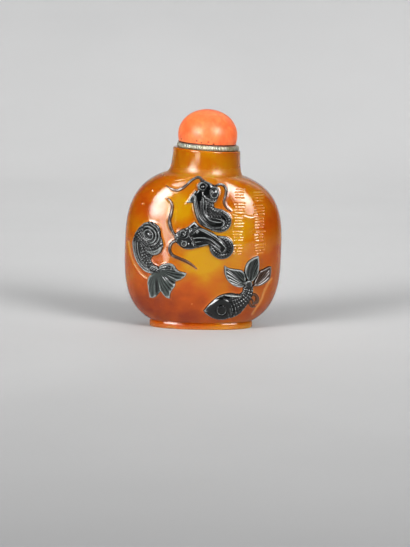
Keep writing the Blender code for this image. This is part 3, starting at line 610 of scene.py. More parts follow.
def upper_catfish():
    """The catfish that looks up, with its tail curled to the right."""
    fish = Carving(-12.2, 9.6, 4.0, 22.6)
    for barbel in UPPER_BARBELS:
        fish.barbel(barbel)
    flap = Outline(fish, UPPER_FLAP)
    # The flap is pale: a painted grey sheen.
    fish.join(flap, flap.dome(0.62, 0.7, 0.6), -0.5)
    body = Outline(fish, UPPER_BODY)
    scales = lines(body.u + body.v, 0.85, 0.17) + lines(body.u - body.v, 0.85, 0.17)
    scaly = ramp(body.u, 0.9, 1.6) * ramp(body.v, 9.6, 10.4)
    fish.join(body, body.dome(0.8, 0.5, 0.9) - 0.07 * scaly * scales)
    fish.ribbed(UPPER_FIN, FIN_HEIGHT)
    for tube, height in UPPER_TUBES:
        fish.strip(tube, height, 0.35, 2.0)
    for path in UPPER_RIDGES:
        fish.score(path, *RIDGE)
    fish.strip([(0.0, 20.0, 0.8), (1.4, 18.6, 1.4), (0.6, 16.9, 1.6)], 1.0, 0.6)
    fish.score(UPPER_GILL, -0.2, 0.17)
    fish.score([(point[0] - 0.25, point[1] - 0.35) for point in UPPER_GILL], 0.2, 0.15)
    (left_eye, left_radius), (right_eye, right_radius) = UPPER_EYES
    fish.bulge(left_eye, left_radius, EYE_FOOT, 0.55, ((0.62, 0.1), (0.84, -0.1)), 0.2)
    fish.bulge(right_eye, right_radius, EYE_FOOT, 0.68, ((0.84, 0.1), (0.66, -0.12)), -0.12, 1.3)
    return fish


def lower_catfish():
    """The catfish that looks to the left, with its tail curled down."""
    fish = Carving(-11.8, 10.4, -6.2, 16.2)
    for barbel in LOWER_BARBELS:
        fish.barbel(barbel)
    body = Outline(fish, LOWER_BODY)
    fish.join(body, body.dome(0.82, 0.5, 0.9))
    fish.ribbed(LOWER_FIN, FIN_HEIGHT)
    fish.strip(LOWER_BELLY, FIN_HEIGHT, 0.4)
    for tube, height in LOWER_TUBES:
        fish.strip(tube, height, 0.4, 2.0)
    for path in LOWER_RIDGES:
        fish.score(path, *RIDGE)
    for u, v, radius in LOWER_KNOBS:
        knob = np.hypot(fish.u - u, fish.v - v)
        bumps = 0.08 * np.sin(fish.u * 5.5) * np.sin(fish.v * 5.5 + fish.u * 2)
        height = 0.9 + 0.35 * np.sqrt(np.clip(1 - (knob / radius) ** 2, 0, 1)) + bumps
        fish.add(slice(None), knob - radius, height)
    fish.strip([(-8.0, 3.9, 0.6), (-6.9, 3.8, 1.5), (-5.2, 3.9, 2.2)], 0.98, 0.6)
    fish.score(LOWER_COLLAR, -0.22, 0.19)
    fish.score([(point[0] + 0.45, point[1]) for point in LOWER_COLLAR], 0.2, 0.16)
    (ring_u, ring_v), ring_radius = LOWER_RING
    ring = np.abs(np.hypot(fish.u - ring_u, fish.v - ring_v) - ring_radius)
    fish.height += 0.24 * line(ring, 0.17) * (fish.height > 0.5)
    for u, v, radius, pupil in LOWER_EYES:
        fish.bulge((u, v), radius, EYE_FOOT, 0.55, ((0.62, 0.14), (0.9, -0.12)), pupil)
    for u, v in ((-8.1, 4.3), (-7.5, 3.6), (-7.8, 2.9)):
        fish.bulge((u, v), 0.42, EYE_FOOT, 0.42)
    return fish


def edges_of(cells):
    """Pairs of grid corners round the rim of the kept cells, in their faces' order."""
    rows, columns = cells.shape
    number = np.arange((rows + 1) * (columns + 1)).reshape(rows + 1, columns + 1)
    framed = np.pad(cells, 1)
    rims = []
    for step, start, end in (((-1, 0), (0, 0), (0, 1)), ((0, 1), (0, 1), (1, 1)),
                             ((1, 0), (1, 1), (1, 0)), ((0, -1), (1, 0), (0, 0))):
        beside = framed[1 + step[0]:rows + 1 + step[0], 1 + step[1]:columns + 1 + step[1]]
        r, c = np.nonzero(cells & ~beside)
        rims.append(np.stack([number[r + start[0], c + start[1]], number[r + end[0], c + end[1]]], 1))
    return np.vstack(rims)


def linked(name, data):
    """A new object in the scene."""
    obj = bpy.data.objects.new(name, data)
    bpy.context.scene.collection.objects.link(obj)
    return obj


def new_object(name, points, faces, material, **attributes):
    """A smooth mesh object from points in millimetres, with one number a point for each attribute."""
    mesh = bpy.data.meshes.new(name)
    mesh.from_pydata((np.asarray(points) * MM).tolist(), [], [tuple(face) for face in faces])
    for key, values in attributes.items():
        layer = mesh.attributes.new(key, "FLOAT", "POINT")
        layer.data.foreach_set("value", np.asarray(values, np.float32).ravel())
    mesh.validate()
    mesh.shade_smooth()
    mesh.materials.append(material)
    return linked(name, mesh)


def carved_object(name, carving, material):
    """The closed body of a figure, sunk a little into the stone."""
    height = carving.height
    high = np.maximum.reduce([height[:-1, :-1], height[1:, :-1], height[:-1, 1:], height[1:, 1:]])
    cells = high > -SUNK
    number = np.arange(height.size).reshape(height.shape)
    r, c = np.nonzero(cells)
    top = np.stack([number[r, c], number[r, c + 1], number[r + 1, c + 1], number[r + 1, c]], 1)
    rim = edges_of(cells)
    used, faces = np.unique(top, return_inverse=True)
    faces = faces.reshape(top.shape)
    rim = np.searchsorted(used, rim)
    count = len(used)
    walls = np.stack([rim[:, 1], rim[:, 0], rim[:, 0] + count, rim[:, 1] + count], 1)
    u, v = carving.u.ravel()[used], carving.v.ravel()[used]
    rise = np.maximum(height.ravel()[used], -SUNK)
    points = np.vstack([on_front(u, v, rise), on_front(u, v, np.full(count, -SUNK - ROOT))])
    faces = np.vstack([faces, faces[:, ::-1] + count, walls])
    shown = np.maximum(height, 0)
    # Ridges are lighter, partly wear and partly a painted highlight, and grooves are darker as painted
    # shade.
    wear = 0.5 + 2.4 * (shown - blurred(shown, 3)) - 0.24 * ramp(carving.brown, 0.0, 0.2)
    wear = np.clip(wear, 0, 1).ravel()[used]
    brown = carving.brown.ravel()[used]
    # A part's pale share, from brown below 0, is a painted grey sheen.
    return new_object(name, points, faces, material, wear=np.tile(wear, 2),
                      brown=np.tile(np.maximum(brown, 0), 2), pale=np.tile(np.maximum(-brown, 0), 2),
                      rise=np.concatenate([rise, np.full(count, -1.0)]))


def sample(carving, values, u, v, fill):
    """Values of a carving's grid at these places, and the fill beyond it."""
    across = (u - carving.u[0, 0]) / PITCH
    up = (v - carving.v[0, 0]) / PITCH
    rows, columns = values.shape
    inside = (across >= 0) & (up >= 0) & (across < columns - 1) & (up < rows - 1)
    c = np.clip(across.astype(int), 0, columns - 2)
    r = np.clip(up.astype(int), 0, rows - 2)
    a, b = across - c, up - r
    mixed = ((values[r, c] * (1 - a) + values[r, c + 1] * a) * (1 - b)
             + (values[r + 1, c] * (1 - a) + values[r + 1, c + 1] * a) * b)
    return np.where(inside, mixed, fill)


def strokes():
    """Short loose dashes in two columns. They stand for writing, and never meet to form a letter."""
    random = np.random.default_rng(5)
    found = []
    for top, bottom, high, low in STROKE_COLUMNS:
        step = (high - low) / STROKE_PLACES
        for place in range(STROKE_PLACES):
            v0 = high - (place + 0.5) * step
            u0 = top + (bottom - top) * (place + 0.5) / STROKE_PLACES
            for row in STROKE_ROWS:
                left, right = random.uniform(-1.6, -0.8), random.uniform(0.9, 1.6)
                gap = random.uniform(-0.4, 0.4)
                cuts = [(left, right)] if random.random() < 0.5 else [(left, gap - 0.3), (gap + 0.3, right)]
                for a, b in cuts:
                    lean = random.uniform(-0.03, 0.05)
                    found.append((u0 + a, v0 + row + lean * a, u0 + b, v0 + row + lean * b))
    return found


def cut_depth(u, v):
    """How deep the strokes, pits, ledges and scratches go at these places on the front."""
    depth = np.zeros_like(u)
    for u1, v1, u2, v2 in strokes():
        near = (np.abs(u - (u1 + u2) / 2) < 2.6) & (np.abs(v - (v1 + v2) / 2) < 2.6)
        along = np.array([u2 - u1, v2 - v1])
        du, dv = u[near] - u1, v[near] - v1
        share = np.clip((du * along[0] + dv * along[1]) / (along @ along), 0, 1)
        distance = np.hypot(du - share * along[0], dv - share * along[1])
        depth[near] = np.maximum(depth[near], STROKE_DEPTH * line(distance, STROKE_WIDTH))
    for u1, v1, wide in PITS_IN_STONE:
        depth = np.maximum(depth, PIT_DEPTH * line(np.hypot(u - u1, v - v1), wide))
    for paths, (deep, width) in ((LEDGES, LEDGE_CUT), (SCRATCHES, SCRATCH_CUT)):
        for u1, v1 in np.vstack([smooth_path(path, PITCH) for path in paths]):
            near = (np.abs(u - u1) < 1) & (np.abs(v - v1) < 1)
            distance = np.hypot(u[near] - u1, v[near] - v1)
            depth[near] = np.maximum(depth[near], deep * line(distance, width))
    return depth


def even_steps(points, pitch):
    """Indices of points along a curve whose steps match the wanted pitch at each of them."""
    steps = np.linalg.norm(np.diff(points, axis=0), axis=1) / ((pitch[1:] + pitch[:-1]) / 2)
    total = np.concatenate([[0], np.cumsum(steps)])
    wanted = np.linspace(0, total[-1], int(total[-1]) + 2)
    return np.unique(np.clip(np.searchsorted(total, wanted), 0, len(points) - 1))


def power_oval(turn, half_x, half_y, squareness):
    """Points of a rounded oval at these angles."""
    cos, sin = np.cos(turn), np.sin(turn)
    return (half_x * np.copysign(np.abs(cos) ** (2 / squareness), cos),
            half_y * np.copysign(np.abs(sin) ** (2 / squareness), sin))


def ring_faces(shape, closed=False):
    """Numbers of the points in a stack of rings, and the faces between the rings."""
    number = np.arange(shape[0] * shape[1]).reshape(shape)
    rows = np.vstack([number, number[:1]]) if closed else number
    beside = np.roll(rows, -1, axis=1)
    faces = np.stack([rows[:-1], beside[:-1], beside[1:], rows[1:]], -1)
    return number, faces.reshape(-1, 4).tolist()


def stone_turns():
    """Angles of the points round the stone: close where strokes are cut, wider apart behind."""
    turn = np.linspace(0, 2 * math.pi, 20001)
    x, y = power_oval(turn, HALF_WIDTH, HALF_DEPTH, SECTION)
    pitch = np.where(y > 1.5, BACK_PITCH, FRONT_PITCH)
    pitch = np.where((y < 0) & (x > STROKE_ZONE[0]) & (x < STROKE_ZONE[1]), STROKE_PITCH, pitch)
    picked = turn[even_steps(np.stack([x, y], 1), pitch)]
    return picked[:-1]


def stone_levels():
    """Levels up the body, close together where it turns in and where strokes are cut."""
    fine = np.concatenate([np.linspace(BODY_FOOT, WIDEST, 6000),
                           np.linspace(WIDEST, SHOULDER_LEVEL, 6000)[1:]])
    width = section(fine)[1]
    cut = (fine > STROKE_LEVELS[0]) & (fine < STROKE_LEVELS[1])
    pitch = np.where(cut, STROKE_LEVEL_PITCH, LEVEL_PITCH)
    return fine[even_steps(np.stack([width, fine], 1), pitch)]


def stone_rings(turn):
    """Rings of points up the foot, body and neck and down the hollow, and which are the body's."""
    rings = []

    def plain(level, half_x, half_y, squareness, middle, tilt=0.0):
        x, y = power_oval(turn, half_x, half_y, squareness)
        rings.append(np.stack([middle + x, SET_BACK + y, level - x * math.tan(tilt)], 1))

    def body(level, inset=0.0):
        middle, width, depth, tilt = (float(value) for value in section(level, inset))
        plain(level, width, depth, SECTION, middle, tilt)

    for level, inset in FOOT_STEPS:
        plain(level, FOOT_HALF[0] - inset, FOOT_HALF[1] - inset, FOOT_SQUARENESS, FOOT_OFFSET)
    first = len(rings)
    for level in stone_levels():
        body(level)
    last = len(rings)
    for share in NECK_SHARES:
        radius = NECK_RADIUS + NECK_FLARE * (1 - share) ** 2 + NECK_FILLET * (1 - share) ** 9
        spread = NECK_SPREAD * (1 - share) ** 1.5
        tilt = SHOULDER_TILT + (LIP_TILT - SHOULDER_TILT) * share
        level = NECK_FOOT + (LIP_LEVEL - NECK_FOOT) * share
        plain(level, radius + spread, radius, 2.0, NECK_OFFSET - spread, tilt)
    for step in range(5):
        angle = math.pi / 2 * step / 4
        radius = NECK_RADIUS - LIP_ROUNDING * (1 - math.cos(angle))
        level = LIP_LEVEL - LIP_ROUNDING * (1 - math.sin(angle))
        plain(level, radius, radius, 2.0, NECK_OFFSET, LIP_TILT)
    for radius, level in ((BORE_RADIUS + LIP_ROUNDING, LIP_LEVEL), (BORE_RADIUS, LIP_LEVEL - LIP_ROUNDING)):
        plain(level, radius, radius, 2.0, NECK_OFFSET, LIP_TILT)
    ceiling = WIDEST + (UPPER[0] - WALL) * 0.985
    plain(ceiling + WALL / 2, BORE_RADIUS, BORE_RADIUS, 2.0, NECK_OFFSET)
    for level in np.linspace(ceiling, FLOOR_LEVEL, HOLLOW_RINGS):
        body(level, WALL)
    return np.stack(rings), first, last


def outward(surface):
    """Directions square to a grid of points, away from the stone."""
    out = np.cross(np.gradient(surface, axis=1), np.gradient(surface, axis=0))
    return out / np.maximum(np.linalg.norm(out, axis=-1, keepdims=True), 1e-9)


def unevenness(u, v, x, y, z, faces_front):
    """How far the surface swells: the hand-cut front by itself, and the whole body."""
    ends = ramp(v, -21.5, -17.5) * (1 - ramp(v, 18.5, 21.8))
    inner = np.where(faces_front, ramp(-y, 1.0, 5.0), 0) * ends
    hand = 0.03 * waves(3, 7.0, x, z) + 0.008 * waves(4, 2.8, x, z)
    hand = hand * (1 - 0.8 * line(np.hypot(u - SMOOTHEST[0], v - SMOOTHEST[1]), 5.0))
    for place, across_reach, up_reach, swell in SWELLS:
        hand += swell * line(np.hypot((u - place[0]) / across_reach, (v - place[1]) / up_reach), 1.0)
    return inner * hand, 0.015 * waves(9, 11, x, y, z) * ends


def stone_object(carvings, material):
    """The bottle's smooth stone: body, foot, neck and hollow, with everything cut in its front."""
    grid, first, last = stone_rings(stone_turns())
    shape = grid.shape[:2]
    outer = grid[first:last]
    x, y, z = outer[..., 0], outer[..., 1], outer[..., 2]
    u, v = x, z - WIDEST
    faces_front = y < SET_BACK - 0.6
    clear = np.full(x.shape, FAR)
    for carving in carvings:
        clear = np.minimum(clear, sample(carving, carving.clear, u, v, FAR))
    clear = np.where(faces_front, np.maximum(clear, 0), FAR)
    cut = np.where(faces_front, cut_depth(u, v), 0.0)
    hand, broad = unevenness(u, v, x, y, z, faces_front)
    lift = RIM_LIFT * line(clear, RIM_WIDTH) - cut + hand + broad
    grid[first:last] = outer + (lift - SKIN_INSET)[..., None] * outward(outer)

    points = grid.reshape(-1, 3)
    halo, groove = np.zeros(shape), np.zeros(shape)
    halo[first:last] = line(clear, HALO_WIDTH)
    groove[first:last] = np.clip(cut / FULL_CUT, 0, 1)
    groove[:first] = FOOT_PALE * line(grid[:first, :, 2], FOOT_PALE_REACH)
    corner = line(grid[..., 2] - NECK_FOOT - CORNER_RISE, CORNER_REACH)
    number, faces = ring_faces(shape)
    low, high = len(points), len(points) + 1
    faces += [(b, a, low) for a, b in zip(number[0], np.roll(number[0], -1))]
    faces += [(a, b, high) for a, b in zip(number[-1], np.roll(number[-1], -1))]
    caps = np.stack([grid[0].mean(0), grid[-1].mean(0)])
    looks = {"honey": honey(points), "halo": halo, "groove": groove, "corner": corner}
    looks = {key: np.concatenate([values.ravel(), [0.5, 0.5]]) for key, values in looks.items()}
    return new_object("bottle_stone", np.vstack([points, caps]), faces, material, **looks)


def honey(points):
    """How yellow the stone is, from 0 for deep orange to 1 for clear yellow."""
    x, y, z = points[:, 0], points[:, 1], points[:, 2]
    value = 0.3 + 0.08 * waves(21, 16, x, y, z) + 0.06 * waves(22, 7, x, y, z)
    for place, reach, weight in CLOUDS:
        value = value + weight * line(np.hypot(x - place[0], z - place[1]), reach)
    value = value + 0.24 * line(z - 0.8, 1.3)
    return np.clip(value * (1 - 0.4 * ramp(y, -2.0, 6.0)), 0, 1)


def lathe(name, profile, material, turns, shape, aside=0.0, **attributes):
    """A round closed piece on the tilted seat of the stopper, from (radius, height) points.

    It has so many points round, goes through a function for its unevenness, and can sit a little
    aside, to the right. A profile that starts off the axis closes as a ring.
    """
    angle = np.linspace(0, 2 * math.pi, turns, endpoint=False)
    radius, height = (column[:, None] + 0 * angle for column in np.array(profile).T)
    angle = angle + 0 * radius
    radius, height = shape(angle, radius, height)
    points = np.stack([radius * np.cos(angle), radius * np.sin(angle), height], -1)
    tilt = np.array(Matrix.Rotation(LIP_TILT, 3, "Y"))
    points = points.reshape(-1, 3) @ tilt.T + (NECK_OFFSET + aside, SET_BACK, LIP_LEVEL)
    off_axis = profile[0][0] > 0.5
    number, faces = ring_faces(radius.shape, closed=off_axis)
    if not off_axis:
        faces += [tuple(number[0, ::-1]), tuple(number[-1])]
    values = {key: make(angle, radius, height).ravel() for key, make in attributes.items()}
    return new_object(name, points, faces, material, **values)


def collar_object(material):
    """A thin metal plate whose rim is worked into a row of small beads."""
    steps = [(CORK_HOLE, 0.04), (8.6, 0.04), (9.0, 0.08), (9.16, 0.2), (9.25, 0.4), (9.29, 0.6),
             (9.29, 0.8), (9.25, 1.0), (9.16, 1.2), (9.0, 1.34), (8.75, 1.42), (8.5, 1.45),
             (CORK_HOLE, 1.45)]

    def bead(angle, height):
        return np.abs(np.sin(34 * angle + 1.1 * np.sin(9 * angle) + 0.9 * (height - 0.7)))

    def beads(angle, radius, height):
        rim = ramp(radius, 8.9, 9.2)
        worked = 0.25 + 0.75 * ramp(np.sin(2 * (angle - 0.35)), -0.55, 0.1)
        radius = radius - rim * worked * (0.22 * (1 - bead(angle, height)) + 0.06 * (1 + np.sin(7 * angle)))
        return radius - rim * 0.16 * worked * line(height - 0.95, 0.13), height

    def grime(angle, radius, height):
        return np.clip(1.1 - 1.3 * bead(angle, height), 0, 1)

    return lathe("stopper_collar_rim", steps, material, 640, beads, COLLAR_ASIDE, grime=grime)


def wax_object(material):
    """The dark wax that holds the dome on its collar."""
    def uneven(angle, radius, height):
        outer = ramp(radius, 8.0, 8.4)
        return radius + outer * (0.1 * np.sin(5 * angle) + 0.06 * np.sin(17 * angle + 1)), height

    steps = [(CORK_HOLE, 1.44), (8.4, 1.44), (8.56, 1.5), (8.6, 1.62), (8.5, 1.8), (CORK_HOLE, 1.8)]
    return lathe("stopper_wax", steps, material, 200, uneven)


def cap_object(material):
    """A coral dome, a little uneven, with a few worm holes."""
    low, radius, widest, rise = 1.75, 8.85, 2.5, 7.5
    steps = [(0.001, low), (4.0, low), (8.3, low), (8.45, low + 0.06)]
    for step in range(1, 19):
        share = step / 18
        steps.append((radius - 0.35 * (1 - share) ** 2, low + 0.06 + (widest - 0.06) * share))
    for step in range(1, 60):
        angle = math.pi / 2 * step / 60
        steps.append((radius * math.cos(angle), low + widest + rise * math.sin(angle)))
    steps.append((0.001, low + widest + rise))

    def hole(angle, radius, height):
        deep = 0 * angle
        for turn, level, size in PITS_IN_CORAL:
            turned = (angle - (turn % (2 * math.pi)) + math.pi) % (2 * math.pi) - math.pi
            deep = np.maximum(deep, line(np.hypot(turned * 8.5, height - level), size))
        return deep

    def worn(angle, radius, height):
        x, y = radius * np.cos(angle), radius * np.sin(angle)
        uneven = 0.035 * waves(31, 7, x, y, height)
        outer = ramp(radius, 0.5, 6.0)
        radius = radius * (1 - 0.004 + 0.004 * waves(32, 9, x, y, height))
        radius = radius - outer * CORAL_PIT_DEPTH * hole(angle, radius, height)
        return radius, height + np.where(height > low + 0.1, uneven - 0.04, 0)

    return lathe("stopper_dome", steps, material, 420, worn, hole=hole)


class Nodes:
    """Builds a material's nodes."""

    def __init__(self, name):
        self.material = bpy.data.materials.new(name)
        self.material.use_nodes = True
        self.tree = self.material.node_tree
        self.shader = self.tree.nodes["Principled BSDF"]
        self.place = self.tree.nodes.new("ShaderNodeTexCoord").outputs["Object"]

    def feed(self, node, inputs):
        """Gives a node's inputs values or other nodes' outputs."""
        for key, value in inputs.items():
            if isinstance(value, bpy.types.NodeSocket):
                self.tree.links.new(value, node.inputs[key])
            else:
                node.inputs[key].default_value = value

    def set(self, **values):
        """Sets the shader's inputs of these names."""
        self.feed(self.shader, {key.replace("_", " "): value for key, value in values.items()})

    def attribute(self, name):
        """One of the mesh's own numbers."""
        node = self.tree.nodes.new("ShaderNodeAttribute")
        node.attribute_name = name
        return node.outputs["Fac"]

    def noise(self, wavelength, detail=3.0, distortion=0.0, stretch=None):
        """Noise with features of about this many millimetres."""
        place = self.place
        if stretch:
            mapping = self.tree.nodes.new("ShaderNodeMapping")
            self.feed(mapping, {"Vector": place, "Scale": stretch})
            place = mapping.outputs["Vector"]
        node = self.tree.nodes.new("ShaderNodeTexNoise")
        self.feed(node, {"Vector": place, "Scale": 1 / (wavelength * MM), "Detail": detail,
                         "Distortion": distortion})
        return node.outputs["Fac"]

    def ramp(self, value, *stops):
        """A colour or a number by this value, from (value, colour or number) stops."""
        node = self.tree.nodes.new("ShaderNodeValToRGB")
        bar = node.color_ramp.elements
        while len(bar) < len(stops):
            bar.new(0.5)
        for element, (at, colour) in zip(bar, stops):
            element.position = at
            element.color = (*colour, 1) if isinstance(colour, tuple) else (colour, colour, colour, 1)
        self.feed(node, {"Fac": value})
        return node.outputs["Color"]

    def mix(self, share, first, second, blend="MIX"):
        """The first colour with this share of the second."""
        node = self.tree.nodes.new("ShaderNodeMix")
        node.data_type = "RGBA"
        node.blend_type = blend
        first, second = ((*c, 1) if isinstance(c, tuple) else c for c in (first, second))
        self.feed(node, {0: share, 6: first, 7: second})
        return node.outputs[2]

    def sum(self, first, second, scale):
        """first + second * scale"""
        node = self.tree.nodes.new("ShaderNodeMath")
        node.operation = "MULTIPLY_ADD"
        self.feed(node, {0: second, 1: scale, 2: first})
        return node.outputs[0]

    def bump(self, height, distance):
        """Fine unevenness of this many millimetres."""
        node = self.tree.nodes.new("ShaderNodeBump")
        self.feed(node, {"Distance": distance * MM, "Height": height})
        self.feed(self.shader, {"Normal": node.outputs["Normal"]})

    def done(self, colour, roughness=None):
        """The material, with these for its colour and roughness."""
        self.feed(self.shader, {"Base Color": colour})
        if roughness is not None:
            self.feed(self.shader, {"Roughness": roughness})
        return self.material


def honey_agate():
    """Cloudy translucent stone from deep orange to yellow, with freckles and a polish."""
    n = Nodes("honey_agate")
    n.set(IOR=1.5, Subsurface_Weight=0.5, Subsurface_Radius=(1.0, 0.35, 0.08), Subsurface_Scale=0.004,
          Coat_Weight=0.2, Coat_Roughness=0.05, Coat_IOR=1.5)
    cloud = n.noise(5.0, 4.0, 0.6)
    bands = n.noise(9.0, 3.0, 1.5, (1.0, 1.0, 2.2))
    value = n.sum(n.sum(n.attribute("honey"), cloud, 0.3), bands, 0.22)
    value = n.sum(value, n.noise(1.1, 2.0), 0.06)
    colour = n.ramp(value, (0.22, (0.155, 0.02, 0.001)), (0.5, (0.27, 0.053, 0.001)),
                    (0.78, (0.3, 0.106, 0.001)), (1.0, (0.32, 0.165, 0.0015)))
    freckles = n.ramp(n.noise(0.7, 2.0, 0.4), (0.66, 0.0), (0.74, 0.5))
    colour = n.mix(freckles, colour, (0.29, 0.065, 0.005))
    colour = n.mix(n.sum(0.0, n.attribute("halo"), 0.3), colour, (0.6, 0.2, 0.05))
    colour = n.mix(n.sum(0.0, n.attribute("groove"), 0.3), colour, (0.7, 0.42, 0.13))
    rough = n.sum(n.ramp(n.noise(2.4, 3.0), (0.3, 0.07), (0.75, 0.17)), n.attribute("corner"), 0.24)
    n.bump(n.noise(0.9, 3.0), 0.012)
    return n.done(colour, rough)


def black_agate():
    """Polished black stone: paler on ridges, partly wear and partly a painted highlight, with painted shade
    in grooves, a painted grey sheen on the pale parts and brown where it is thin.
    """
    n = Nodes("black_agate")
    n.set(IOR=1.5, Coat_Weight=0.15, Coat_Roughness=0.05)
    wear = n.sum(n.attribute("wear"), n.noise(0.6, 3.0), 0.25)
    # Painted shade in grooves and a painted highlight on ridges, partly wear.
    colour = n.ramp(wear, (0.4, (0.001, 0.001, 0.001)), (0.66, (0.003, 0.0032, 0.0034)),
                    (0.86, (0.013, 0.0143, 0.015)), (1.0, (0.13, 0.138, 0.136)))
    green = n.ramp(n.noise(2.6, 2.0), (0.45, 0.0), (0.7, 0.4))
    colour = n.mix(green, colour, (0.009, 0.0115, 0.0105))
    # The pale parts take a painted grey sheen, with painted highlights on their ridges.
    painted_sheen_colour = n.ramp(wear, (0.42, (0.002, 0.0022, 0.0022)), (0.58, (0.03, 0.036, 0.0335)),
                   (0.8, (0.05, 0.06, 0.056)), (1.0, (0.2, 0.215, 0.21)))
    colour = n.mix(n.attribute("pale"), colour, painted_sheen_colour)
    thin = n.ramp(n.attribute("rise"), (0.0, 1.0), (0.22, 0.0))
    brown = n.mix(1.0, n.sum(0.0, n.attribute("brown"), 1.0), thin, "ADD")
    colour = n.mix(brown, colour, (0.085, 0.035, 0.016))
    rough = n.ramp(n.noise(0.8, 3.0), (0.3, 0.06), (0.7, 0.14))
    n.bump(n.noise(0.35, 3.0), 0.005)
    return n.done(colour, rough)


def coral():
    """Orange coral with pale clouds and dark worm holes."""
    n = Nodes("coral")
    n.set(IOR=1.5, Subsurface_Weight=0.3, Subsurface_Radius=(1.0, 0.4, 0.25), Subsurface_Scale=0.0015)
    value = n.sum(n.sum(0.0, n.noise(4.0, 3.0, 0.8), 0.7), n.noise(0.9, 2.0, 0.0, (1, 1, 0.4)), 0.3)
    colour = n.ramp(value, (0.3, (0.6, 0.102, 0.026)), (0.5, (0.68, 0.148, 0.045)),
                    (0.72, (0.74, 0.225, 0.075)))
    colour = n.mix(n.attribute("hole"), colour, (0.07, 0.008, 0.004))
    rough = n.ramp(n.noise(1.5, 3.0), (0.3, 0.33), (0.7, 0.46))
    n.bump(n.noise(0.5, 3.0), 0.02)
    return n.done(colour, rough)


def collar_metal():
    """Worn metal with traces of gilding, and grime between its beads."""
    n = Nodes("collar_metal")
    n.set(Metallic=0.4)
    patch = n.ramp(n.noise(1.6, 4.0, 0.5), (0.36, (0.2, 0.22, 0.2)), (0.5, (0.38, 0.365, 0.29)),
                   (0.66, (0.19, 0.17, 0.09)))
    colour = n.mix(n.sum(0.0, n.attribute("grime"), 0.55), patch, (0.1, 0.09, 0.05))
    rough = n.ramp(n.noise(0.7, 3.0), (0.3, 0.25), (0.7, 0.55))
    n.bump(n.noise(0.4, 3.0), 0.05)
    return n.done(colour, rough)


def wax():
    """Dark red wax."""
    n = Nodes("dark_wax")
    colour = n.ramp(n.noise(1.2, 3.0), (0.35, (0.05, 0.012, 0.006)), (0.65, (0.13, 0.03, 0.012)))
    n.bump(n.noise(0.5, 2.0), 0.05)
    return n.done(colour, n.ramp(n.noise(0.8), (0.3, 0.35), (0.7, 0.6)))


def cork():
    """Plain cork."""
    n = Nodes("cork")
    colour = n.ramp(n.noise(0.9, 4.0, 0.4), (0.3, (0.16, 0.08, 0.035)), (0.5, (0.36, 0.21, 0.1)),
                    (0.7, (0.5, 0.33, 0.18)))
    n.bump(n.noise(0.6, 4.0), 0.2)
    return n.done(colour, n.ramp(n.noise(1.0), (0.3, 0.75), (0.7, 0.92)))


def paper(name, colour):
    """Plain paper with faint broad shades."""
    n = Nodes(name)
    shade = n.ramp(n.noise(60.0, 2.0), (0.3, tuple(c * 0.97 for c in colour)), (0.7, colour))
    n.set(Roughness=0.7)
    return n.done(shade)


def floor_object(material):
    """A pale floor that sweeps up into a backdrop far behind."""
    profile = [(FLOOR_FRONT, 0.0), (SWEEP_START, 0.0)]
    for step in range(1, 13):
        angle = math.pi / 2 * step / 12
        profile.append((SWEEP_START + SWEEP_RADIUS * math.sin(angle), SWEEP_RADIUS * (1 - math.cos(angle))))
    profile.append((SWEEP_START + SWEEP_RADIUS, FLOOR_TOP))
    points = [(side, y, z) for y, z in profile for side in (-FLOOR_HALF, FLOOR_HALF)]
    faces = [(2 * i, 2 * i + 1, 2 * i + 3, 2 * i + 2) for i in range(len(profile) - 1)]
    new_object("floor", points, faces, material)


def softbox(name, azimuth, elevation, distance, width, height, power, spread, aim=BOTTLE_MIDDLE):
    """A soft rectangular light with a grid over it. Azimuth 0 is in front and 90 to the right."""
    light = bpy.data.lights.new(name, "AREA")
    light.shape = "RECTANGLE"
    light.size, light.size_y = width, height
    light.energy = power
    light.spread = math.radians(spread)
    obj = linked(name, light)
    obj.visible_camera = False
    a, e = math.radians(azimuth), math.radians(elevation)
    way = Vector((math.sin(a) * math.cos(e), -math.cos(a) * math.cos(e), math.sin(e)))
    obj.location = Vector(BOTTLE_MIDDLE) + way * distance
    obj.rotation_euler = (obj.location - Vector(aim)).to_track_quat("Z", "Y").to_euler()


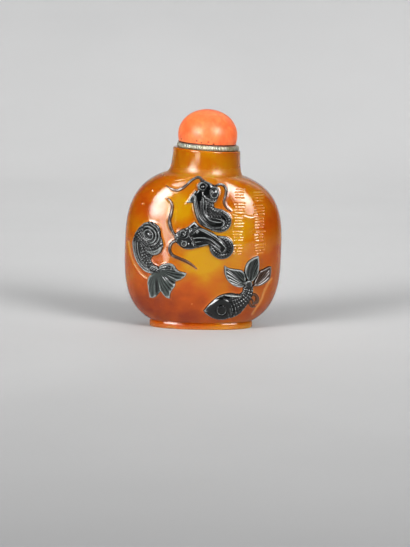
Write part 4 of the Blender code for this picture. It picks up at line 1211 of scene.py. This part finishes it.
def camera_object():
    """The camera at the photograph's angle."""
    camera = bpy.data.cameras.new("camera")
    camera.lens = CAMERA_LENS
    camera.clip_start, camera.clip_end = 0.01, 10.0
    obj = linked("camera", camera)
    place, target = Vector(CAMERA_PLACE) * MM, Vector(CAMERA_TARGET) * MM
    turn = (target - place).to_track_quat("-Z", "Y").to_matrix().to_4x4()
    obj.matrix_world = Matrix.Translation(place) @ turn @ Matrix.Rotation(CAMERA_ROLL, 4, "Z")
    bpy.context.scene.camera = obj


def light_scene():
    """A dim even surround and the soft lights."""
    world = bpy.data.worlds.new("studio")
    world.use_nodes = True
    back = world.node_tree.nodes["Background"]
    back.inputs["Color"].default_value = WORLD_COLOUR
    back.inputs["Strength"].default_value = WORLD_STRENGTH
    bpy.context.scene.world = world
    for name, values in SOFTBOXES.items():
        softbox(name, *values)
    bpy.context.scene.view_settings.view_transform = "Standard"
    bpy.context.scene.view_settings.look = "Medium High Contrast"


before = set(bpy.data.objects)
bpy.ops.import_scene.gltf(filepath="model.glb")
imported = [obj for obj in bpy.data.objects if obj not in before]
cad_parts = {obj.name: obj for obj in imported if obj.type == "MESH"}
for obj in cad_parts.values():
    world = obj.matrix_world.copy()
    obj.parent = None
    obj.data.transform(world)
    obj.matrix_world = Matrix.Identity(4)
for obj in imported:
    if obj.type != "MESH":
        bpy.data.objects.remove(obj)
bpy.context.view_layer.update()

stone, skin = honey_agate(), black_agate()
figures = {"relief_left_goldfish": left_goldfish(), "relief_right_goldfish": right_goldfish(),
           "relief_upper_catfish": upper_catfish(), "relief_lower_catfish": lower_catfish()}
bottle = stone_object(list(figures.values()), stone)
pieces = [(bottle, "bottle", "agate")]
for figure, carving in figures.items():
    pieces.append((carved_object(figure, carving, skin), "bottle", "agate"))
metal = collar_metal()
pieces.append((collar_object(metal), "stopper_collar", "collar_metal"))
pieces.append((wax_object(wax()), "stopper_collar", "collar_metal"))
pieces.append((cap_object(coral()), "stopper_cap", "coral"))
for piece, node, slot in pieces:
    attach(piece, "root")
    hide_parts(node)
cork_material = cork()
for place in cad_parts["stopper_cork"].material_slots:
    place.material = cork_material

floor_object(paper("pale_floor", FLOOR_COLOUR))
light_scene()
camera_object()
